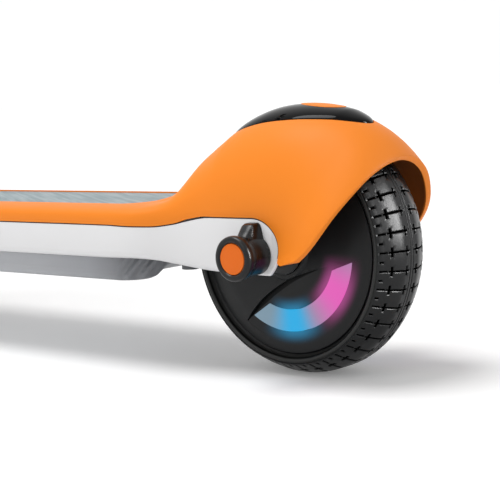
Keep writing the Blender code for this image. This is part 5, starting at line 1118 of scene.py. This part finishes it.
def makeFork():
    half, side, bend = fork["thick"] / 2, fork["half"], fork["bend"]
    rings = []
    for angle in (88, 80, 70, 58, 46, 34, 23, 12, 4):
        width, drop = polar(fork["end"], angle)
        rings.append(forkRing(side, -drop, 90, width, half))
    for along, width in denser([(4, fork["end"]), (14, 18.6), (26, 17.5), (52, 14.8)], 3):
        rings.append(forkRing(side, along, 90, width, half))
    for i in range(13):
        a = radians(90 * i / 12)
        rings.append(forkRing(side - bend * (1 - cos(a)), fork["crown"] - bend * (1 - sin(a)),
                              90 + degrees(a), 15 + 3.0 * i / 12, half + 0.8 * i / 12))
    rings += [[(x, -y, along) for x, y, along in ring] for ring in rings[::-1]]
    piece = lofted("fork_legs", rings)
    steerer = [(0, 90.5), (8.6, 90.5), (9, 91), (9, 96), (20.3, 96), (20.3, 103), (19.6, 104), (17.3, 109.7),
               (14.3, 109.7), (14.3, 202.8), (13.6, 203.5), (0, 203.5)]
    unite(piece, turned("steerer", steerer, "Z", 72))
    drill(piece, boss["hole"], -60, 60, steps=32)
    soften(piece, 0.5, 2, 50)
    finishPiece(piece, "steering", "white_paint", "fork", sharp=38)
    rows = [(14.8, 3.7), (21.4, 3.7), (22.2, 3.2), (22.6, 2.2), (22.2, 1.7), (23, 1.1), (23, 0.3),
            (17.7, 0.3), (17.7, -9), (14.8, -9)]
    for name, end, out, node in (("headset_ring_low", head["low"], -1, "headset_cup_lower"),
                                 ("headset_ring_top", head["high"], 1, "headset_cup_upper")):
        cup = turned(name, [(radius, end + out * along) for radius, along in rows], "Z", 72, True)
        finishPiece(cup, "frame", "steel", node, place=steerPlace)


def makeFender():
    section = fenderSection + [(-share, drop) for share, drop in fenderSection[-2::-1]]
    rings = []
    for i in range(61):
        angle = radians(fender["start"] + (fender["end"] - fender["start"]) * i / 60)
        tuck = 1 - 0.10 * max(0.0, 1 - min(i, 60 - i) / 5) ** 2
        ring = []
        for grow, order in ((fender["wall"], 1), (0.0, -1)):
            half = (fender["half"] - fender["wall"] + grow) * tuck
            for share, drop in section[::order]:
                r = axleHeight + fender["lift"] + grow - drop
                ring.append((r * sin(angle), share * half, r * cos(angle)))
        rings.append(ring)
    piece = soften(lofted("front_fender_shell", rings), 0.5, 2, 60)
    finishPiece(piece, "steering", "orange_plastic", "front_fender", sharp=40)


# Folding joint

hinge = {"pin": 226.0, "cheek": 33.0, "inner": 19.6, "outer": 24.0, "slot": 24.0, "slotHalf": 3.5,
         "skewer": 250.0, "foot": 190.3, "leverOut": 8.0}


def makeHinge():
    foot, outer, pinPlace = hinge["foot"], hinge["outer"], (0, hinge["pin"])
    rows = [(14.6, foot), (21.5, foot), (outer, foot + 2.5), (outer, foot + 11), (14.6, foot + 11)]
    base = turned("hinge_cheeks", rows, "Z", 64, True)
    outline = arc(pinPlace, hinge["cheek"], -35, 215, 60)
    outline += [(-23, foot + 4), (-21, foot), (21, foot), (23, foot + 4)]
    for low, high in ((-outer, -hinge["inner"]), (hinge["inner"], outer)):
        unite(base, plate("cheek", outline, low, high))
    wide, margin = hinge["slotHalf"], degrees(hinge["slotHalf"] / hinge["slot"])
    slotLine = arc(pinPlace, hinge["slot"] + wide, 90 - margin, 176 + margin, 30)
    slotLine += arc(pinPlace, hinge["slot"] - wide, 176 + margin, 90 - margin, 30)
    combine(base, plate("slot", slotLine, -30, 30))
    drill(base, 5.3, -40, 40, centre=(0, 0, hinge["pin"]), steps=40)
    soften(base, 0.7, 3, 50)
    finishPiece(base, "steering", "black_plastic", "hinge_bracket", sharp=36)
    rows = [(0, -26.2), (2.4, -26.2), (2.6, -27.3), (7.2, -27.3), (8, -26.6), (8, -24.3), (5, -24.3)]
    pin = turned("hinge_pivot", bothEnds(rows), steps=48, centre=(0, 0, hinge["pin"]))
    finishPiece(pin, "steering", "steel", "hinge_pin")


# Stem, its clamp levers and the height collar

stem = {"radius": 17.0, "bore": 14.6, "top": 560.0, "knuckle": 19.2, "lugX": -28.0, "lugY": 12.0,
        "lugZ": 553.0, "leverOut": 5.3}


def makeStem():
    pinZ, radius, bore, top = hinge["pin"], stem["radius"], stem["bore"], stem["top"]
    lugSpot, skewerSpot = (stem["lugX"], 0, stem["lugZ"]), (0, 0, hinge["skewer"])
    leverY = hinge["outer"] + hinge["leverOut"]
    outline = arc((0, pinZ), radius, 180, 360, 32) + [(radius, pinZ + 36), (-radius, pinZ + 36)]
    tube = plate("stem_post", outline, -stem["knuckle"], stem["knuckle"])
    rows = [(0, 300), (bore, 300), (bore, top), (radius, top), (radius, 271), (17.6, 268.5), (18.8, 265),
            (18.8, 256), (0, 256)]
    unite(tube, turned("tube", rows, "Z", 72))
    drill(tube, 5.3, -40, 40, centre=(0, 0, pinZ), steps=40)
    drill(tube, 3.3, -40, 40, centre=skewerSpot, steps=32)
    soften(tube, 0.6, 3, 50)
    finishPiece(tube, "stem", "white_paint", "stem_tube", sharp=36)
    rows = [(0, -28.8), (2.2, -28.8), (2.4, -30.3), (6.2, -30.3), (7, -29.6), (7, -24.3), (3, -24.3),
            (3, leverY), (0, leverY)]
    skewer = turned("fold_skewer", rows, steps=40, centre=skewerSpot)
    unite(skewer, rod("cross", 1.8, -7, 7, "X", (0, leverY, hinge["skewer"]), 24))
    finishPiece(skewer, "stem", "steel", "clamp_skewer")
    rows = [(17.3, 540), (20.5, 540), (21, 540.6), (21, 542.5), (20.5, 543), (20.5, 548), (21, 549),
            (21, top + 4.5), (19.5, top + 6), (14.3, top + 6), (14.3, top + 0.3), (17.3, top + 0.3)]
    collar = turned("height_clamp_ring", rows, "Z", 72, True)
    unite(collar, soften(slab("lug", (stem["lugX"] - 6, -12, 546), (-18, 12, 560)), 2.2, 4, 60))
    combine(collar, slab("slit", (stem["lugX"] - 12, -0.9, 535), (-14, 0.9, top + 11)))
    drill(collar, 2.8, -30, 30, centre=lugSpot, steps=28)
    finishPiece(collar, "stem", "black_plastic", "height_collar")
    leverY = stem["lugY"] + stem["leverOut"]
    rows = [(0, -14), (1.4, -14), (1.5, -15.3), (4.1, -15.3), (4.5, -14.9), (4.5, -12.3), (2.5, -12.3),
            (2.5, leverY), (0, leverY)]
    bolt = turned("height_clamp_bolt", rows, steps=32, centre=lugSpot)
    unite(bolt, rod("cross", 1.8, 547, 559, "Z", (stem["lugX"], leverY, 0), 24))
    finishPiece(bolt, "stem", "steel", "collar_bolt")


def blade(name, stations, square, turnTo):
    # a lofted lever through stations of (along, out, half width, half thickness), set in place by turnTo
    rings = []
    for along, out, half, thick in denser(stations, 5):
        rings.append([turnTo(along, across, out, up) for across, up in oval(half, thick, square)])
    return lofted(name, rings)


def makeLevers():
    y, z = hinge["outer"] + hinge["leverOut"], hinge["skewer"]
    stations = [(-5.0, 0, 7.4, 2.8), (-3.0, 0, 7.5, 4.5), (6.0, 0.6, 7.4, 4.4), (14.0, 2.4, 6.0, 2.8),
                (34.0, 4.4, 5.2, 2.2), (52.0, 7.0, 6.8, 2.2), (57.5, 8.0, 6.2, 2.0), (60.0, 8.6, 3.6, 1.4)]
    lever = blade("fold_clamp_handle", stations, 3.0,
                  lambda along, across, out, up: (across, y + (out + up), z + along))
    combine(lever, slab("slot", (-3.6, y - 9, z - 9), (3.6, y + 9, z + 4.2)))
    drill(lever, 2.1, -12, 12, "X", (0, y, z), 24)
    finishPiece(lever, "fold_clamp", "black_plastic", "fold_lever", sharp=40)
    x, y, z = stem["lugX"], stem["lugY"] + stem["leverOut"], stem["lugZ"]
    stations = [(-4.6, 0, 6.4, 1.9), (-3.0, 0, 6.6, 3.5), (4.0, 1.6, 6.4, 3.7), (10.0, 5.0, 5.6, 2.4),
                (18.0, 8.6, 5.0, 2.0), (30.0, 10.4, 5.4, 2.0), (42.0, 9.6, 6.2, 2.0), (46.0, 8.6, 5.4, 1.8),
                (48.0, 7.6, 3.2, 1.3)]
    lever = blade("height_clamp_handle", stations, 3.0,
                  lambda along, across, out, up: (x + along, y + (out + up), z + across))
    combine(lever, slab("slot", (x - 9, y - 9, z - 3.1), (x + 3.7, y + 9, z + 3.1)))
    drill(lever, 2.1, z - 12, z + 12, "Z", (x, y, 0), 24)
    finishPiece(lever, "height_clamp", "black_plastic", "height_lever", sharp=40)


# Handlebar and its controls

bar = {"z": 705.0, "radius": 11.0, "half": 192.0, "gripLong": 108.0, "top": 738.95}
barCentre = (0, 0, bar["z"])


def makeBars():
    z, half = bar["z"], bar["half"]
    rows = [(0, z - 25), (12.2, z - 25), (12.2, 400), (14, 400), (14, z), (0, z)]
    tube = turned("slide_post", rows, "Z", 72)
    rows = [(0, -32), (16.4, -32), (17, -31.4), (17, -27.5), (16.6, -27), (16.6, -25.5), (17, -25)]
    unite(tube, turned("socket", bothEnds(rows), steps=72, centre=barCentre))
    drill(tube, 11.3, -50, 50, centre=barCentre)
    for height in range(586, 706, 20):
        combine(tube, washer("mark", 13.88, 15, height - 0.3, height + 0.3, "Z", 72))
    finishPiece(tube, "upper", "aluminium", "slide_tube", sharp=36)
    pipe = washer("handlebar_tube", 9.2, bar["radius"], -half, half, steps=64, centre=barCentre)
    finishPiece(pipe, "upper", "black_plastic", "handlebar")


def makeGrips():
    # a profile round the bar: the bore is open towards the middle of the bar
    start, end = bar["half"] - bar["gripLong"], bar["half"] + 0.3
    rows = [(0, end), (11.3, end), (11.3, start), (18.4, start), (19, start + 0.6), (19, start + 2.4),
            (18.4, start + 3), (16, start + 3.4), (15.2, start + 5)]
    for k in range(21):
        low = start + 8 + 4.35 * k
        rows += [(15.0, low), (15.5, low + 0.7), (15.6, low + 1.5), (15.5, low + 2.3), (15.0, low + 3.0),
                 (14.7, low + 3.6)]
    rows += [(15.0, end - 2), (14.7, end - 0.5), (13.9, end + 1.2), (12.6, end + 2.2), (11.2, end + 2.5),
             (0, end + 2.5)]
    grip = turned("grip_left_rubber", rows, steps=56, centre=barCentre)
    finishPair(grip, "upper", "grip_rubber", "grip_left", sharp=50)


def makePod():
    z, top, button = bar["z"], bar["top"], (-14, 0, 0)
    pod = soften(slab("display_pod", (-25, -31, z + 8), (29, 31, top), 9, 10), 2.5, 5, 60)
    drill(pod, 17.3, -50, 50, centre=barCentre, steps=72)
    combine(pod, slab("pocket", (-3.3, -22.3, top - 2), (25.3, 22.3, top + 3), 5.3, 8))
    drill(pod, 6.3, top - 6, top + 5, "Z", button, 48)
    combine(pod, washer("groove", 9.0, 9.8, top - 0.5, top + 1, "Z", 64, button))
    finishPiece(pod, "upper", "black_plastic", "display_housing", sharp=36)
    lens = soften(slab("display_glass", (-3, -22, top - 1.7), (25, 22, top), 5, 10), 0.5, 3, 60)
    finishPiece(lens, "upper", "gloss_black", "display_lens")
    rows = [(0, -4.2), (6, -4.2), (6, 0.8), (5.8, 1.3), (5.2, 1.7), (4.4, 1.74), (3.6, 1.6), (0, 1.2)]
    cap = turned("power_cap", [(radius, top + along) for radius, along in rows], "Z", 48, False, button)
    finishPiece(cap, "button", "orange_plastic", "power_button", sharp=50)


def makeControls():
    z = bar["z"]
    clamp = turned("throttle_clamp", chamfered(11.3, 16, -66, -54), steps=64, closed=True, centre=barCentre)
    screw = soften(slab("lug", (-6, -63.5, z - 20), (6, -56.5, z - 12)), 1.2, 3, 60)
    drill(screw, 13, -80, -40, centre=barCentre)
    unite(clamp, screw)
    finishPiece(clamp, "upper", "black_plastic", "throttle_housing")
    thumb = turned("throttle_paddle", chamfered(11.3, 15, -75.3, -66.3), steps=64, closed=True,
                   centre=barCentre)
    stations = [(13, -6, 4.2, 0), (24, -11, 5.3, 1), (31, -12, 6.8, 2), (36, -11.4, 6.2, 2),
                (38, -11, 4.0, 2)]
    rings = []
    for reach, drop, width, shift in denser(stations, 5):
        outline = oval(width, 2.0, 2.8)
        rings.append([(-reach, -70.9 + shift + across, z + drop + up) for across, up in outline])
    unite(thumb, lofted("paddle", rings))
    finishPiece(thumb, "throttle", "orange_plastic", "throttle_lever", sharp=40)

    pivot = (24, 61, 0)
    mount = turned("hand_brake_clamp", chamfered(11.3, 16, 53, 67), steps=64, closed=True, centre=barCentre)
    for s in (-7, 7):
        unite(mount, soften(slab("ear", (12, 54, z + s - 2.5), (31, 66, z + s + 2.5), 2.5, 6), 0.5, 2, 60))
    drill(mount, 11.3, 40, 80, centre=barCentre)
    drill(mount, 2.3, z - 20, z + 20, "Z", pivot, 28)
    finishPiece(mount, "upper", "black_plastic", "brake_lever_housing")
    stations = [(-5, 0, 3.4, 3.6), (-3.5, 0, 3.6, 4.0), (5, 1, 4.0, 4.0), (15, 12, 3.0, 4.0),
                (35, 15, 2.8, 4.6), (65, 14, 2.8, 5.2), (77, 11.4, 2.6, 4.8), (79, 11, 1.8, 3.8)]
    lever = blade("hand_brake_blade", stations, 2.8,
                  lambda along, across, out, up: (pivot[0] + out + across, pivot[1] + along, z + up))
    unite(lever, rod("pin", 2.0, z - 9.5, z + 9.5, "Z", pivot, 28))
    finishPiece(lever, "brake", "black_plastic", "brake_lever", sharp=40)


# Side stand

stand = {"x": 490.0, "y": 62.0, "z": 69.0, "tilt": radians(30.0)}


def leaning(shape, direction):
    # stands a shape made along Z at the stand's pivot, along a direction
    third = direction.cross(Vector((1, 0, 0)))
    turn = Matrix(((1, third.x, direction.x), (0, third.y, direction.y), (0, third.z, direction.z))).to_4x4()
    shape.data.transform(Matrix.Translation((stand["x"], stand["y"], stand["z"])) @ turn)
    return shape


def makeStand():
    down = Vector((0, sin(stand["tilt"]), -cos(stand["tilt"])))
    axis = Vector((0, cos(stand["tilt"]), sin(stand["tilt"])))
    long = stand["z"] / cos(stand["tilt"])
    x, y, z = stand["x"], stand["y"], stand["z"]
    bracket = soften(slab("stand_mount", (x - 10, 42, z - 6), (x + 10, 53, 76.2)), 1.2, 3, 60)
    hubRows = [(0, -17.3), (7.4, -17.3), (8, -16.7), (8, -5.8), (7.5, -5.3), (0, -5.3)]
    studRows = [(0, 5.3), (5, 5.3), (5, 7.2), (4.5, 7.7), (2, 7.7), (1.8, 6.6), (0, 6.6)]
    unite(bracket, leaning(turned("hub", hubRows, "Z", 48), axis),
          leaning(rod("stud", 3, -13.3, 6.3, "Z", steps=32), axis),
          leaning(turned("stud_head", studRows, "Z", 32), axis))
    finishPiece(bracket, "frame", "black_plastic", "stand_bracket")
    leg = leaning(rod("stand_arm", 5, 0, long - 20, "Z", steps=48), down)
    unite(leg, leaning(turned("hub", chamfered(0, 7, -5, 5, 0.5), "Z", 48), axis))
    combine(leg, leaning(rod("hole", 3.3, -20, 20, "Z", steps=32), axis))
    finishPiece(leg, "stand", "aluminium", "stand_leg")
    rows = [(0, long - 26), (6.2, long - 26), (7, long - 25), (7, long + 8), (0, long + 8)]
    shoe = leaning(turned("stand_foot", rows, "Z", 48), down)
    combine(shoe, slab("ground", (x - 20, y - 10, -30), (x + 20, y + 80, 0)))
    finishPiece(shoe, "stand", "rubber")


def makeSmallParts():
    # the brake shoe, and the inner pieces whose solids stay as they are
    shoe = []
    for i in range(13):
        x = -42 + 22 * i / 12
        low, top = axleHeight + sqrt((axleHeight + 2.9) ** 2 - x * x), hoodHeight(x, 12) - 2.6
        shoe.append([(x, y, z) for y, z in ((10, top), (-10, top), (-10, low), (10, low))])
    finishPiece(lofted("brake_shoe_plate", shoe), "pedal", "steel", "brake_shoe")
    steels = ("motor_rotor", "rear_axle", "front_axle", "rear_bearing_left", "rear_bearing_right")
    finishes = dict.fromkeys(steels, "steel")
    finishes |= {"motor_stator": "copper", "battery_pack": "battery_wrap", "motor_controller": "aluminium"}
    for name, finish in finishes.items():
        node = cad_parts[name]
        node.data.materials.clear()
        node.data.materials.append(materials[finish])


for work in (makeHood, makeSeamShadeStrips, makePedal, makeMat, makeChassis, makeBatteryCover, makePort, makeTyre,
             makeHubCovers, makeKnobs, makeSpacers, makeRim, makeFork, makeFender, makeHinge, makeStem,
             makeLevers, makeBars, makeGrips, makePod, makeControls, makeStand, makeSmallParts):
    work()
    print("stage:", work.__name__)


# Floor, light and camera: the paper's own grey, its added glow, and the world's level as light and as seen

studio = {"paper": 0.93, "glow": 0.165, "light": 0.48, "seen": 1.01}


def seenRays(tree):
    # 1 for camera, mirror and glass rays, 0 for the light that falls on the scooter
    seen = addNode(tree, "ShaderNodeLightPath").outputs
    rays = maths(tree, "ADD", seen["Is Camera Ray"], seen["Is Glossy Ray"])
    return maths(tree, "ADD", rays, seen["Is Transmission Ray"], use_clamp=True)


def makeFloor():
    # white sweep: seen white by the camera, darkened only where the scooter keeps light from it
    bpy.ops.object.select_all(action="DESELECT")
    bpy.ops.mesh.primitive_plane_add(size=1)
    floor = bpy.context.object
    floor.name = "studio_floor"
    editAll(floor)
    bpy.ops.transform.resize(value=(60, 60, 1))
    bpy.ops.mesh.subdivide(number_cuts=3)
    bpy.ops.object.mode_set(mode="OBJECT")
    made = bpy.data.materials.new("white studio paper")
    made.use_nodes = True
    tree = made.node_tree
    tree.nodes.clear()
    paper = addNode(tree, "ShaderNodeBsdfDiffuse", {"Color": (*[studio["paper"]] * 3, 1)})
    level = maths(tree, "MULTIPLY", seenRays(tree), studio["glow"])
    glow = addNode(tree, "ShaderNodeEmission", {"Color": (1, 1, 1, 1), "Strength": level})
    both = addNode(tree, "ShaderNodeAddShader", {0: paper.outputs[0], 1: glow.outputs[0]})
    addNode(tree, "ShaderNodeOutputMaterial", {"Surface": both.outputs[0]})
    floor.data.materials.append(made)


def makeWorld():
    world = bpy.data.worlds.new("studio")
    bpy.context.scene.world = world
    world.use_nodes = True
    tree = world.node_tree
    tree.nodes.clear()
    level = mapped(tree, seenRays(tree), 0, 1, studio["light"], studio["seen"])
    sky = addNode(tree, "ShaderNodeBackground", {"Color": (1, 1, 1, 1), "Strength": level})
    addNode(tree, "ShaderNodeOutputWorld", {"Surface": sky.outputs[0]})


def addLamp(name, kind, place, aim, energy, size, tall=1.0):
    data = bpy.data.lights.new(name, kind)
    data.energy = energy
    if kind == "AREA":
        data.shape = "ELLIPSE"
        data.size = size
        data.size_y = size * tall
    else:
        data.angle = size
    lamp = bpy.data.objects.new(name, data)
    bpy.context.scene.collection.objects.link(lamp)
    lamp.location = place
    lamp.rotation_euler = (Vector(aim) - Vector(place)).to_track_quat("-Z", "Y").to_euler()
    return lamp


makeWorld()
makeFloor()
addLamp("overhead softbox", "SUN", (0.9, 0.7, 3), (0, 0, 0), 1.76, radians(30))
addLamp("front softbox", "AREA", (-0.1, 1.9, 1.3), (-0.2, 0, 0.1), 5, 1.4)
strip = addLamp("rear strip", "AREA", (-1.85, -0.38, 0.6), (-0.41, 0, 0.1), 44, 0.34, 3.4)
strip.visible_diffuse = False  # only a highlight down the tread

# the camera stands where the photo's perspective puts it
cameraData = bpy.data.cameras.new("camera")
cameraData.lens = 97.76
cameraData.sensor_width = 36
camera = bpy.data.objects.new("camera", cameraData)
bpy.context.scene.collection.objects.link(camera)
right, up = Vector((-0.75185144, -0.6571295, -0.0538539)), Vector((0.03599816, -0.12246992, 0.99181916))
view = Vector((0.65834911, -0.74376202, -0.11573464))
camera.matrix_world = Matrix(((right.x, up.x, -view.x, -0.887565), (right.y, up.y, -view.y, 0.679756),
                              (right.z, up.z, -view.z, 0.1833), (0, 0, 0, 1)))
bpy.context.scene.camera = camera
bpy.context.scene.view_settings.view_transform = "Standard"
print("stage: light and camera set")
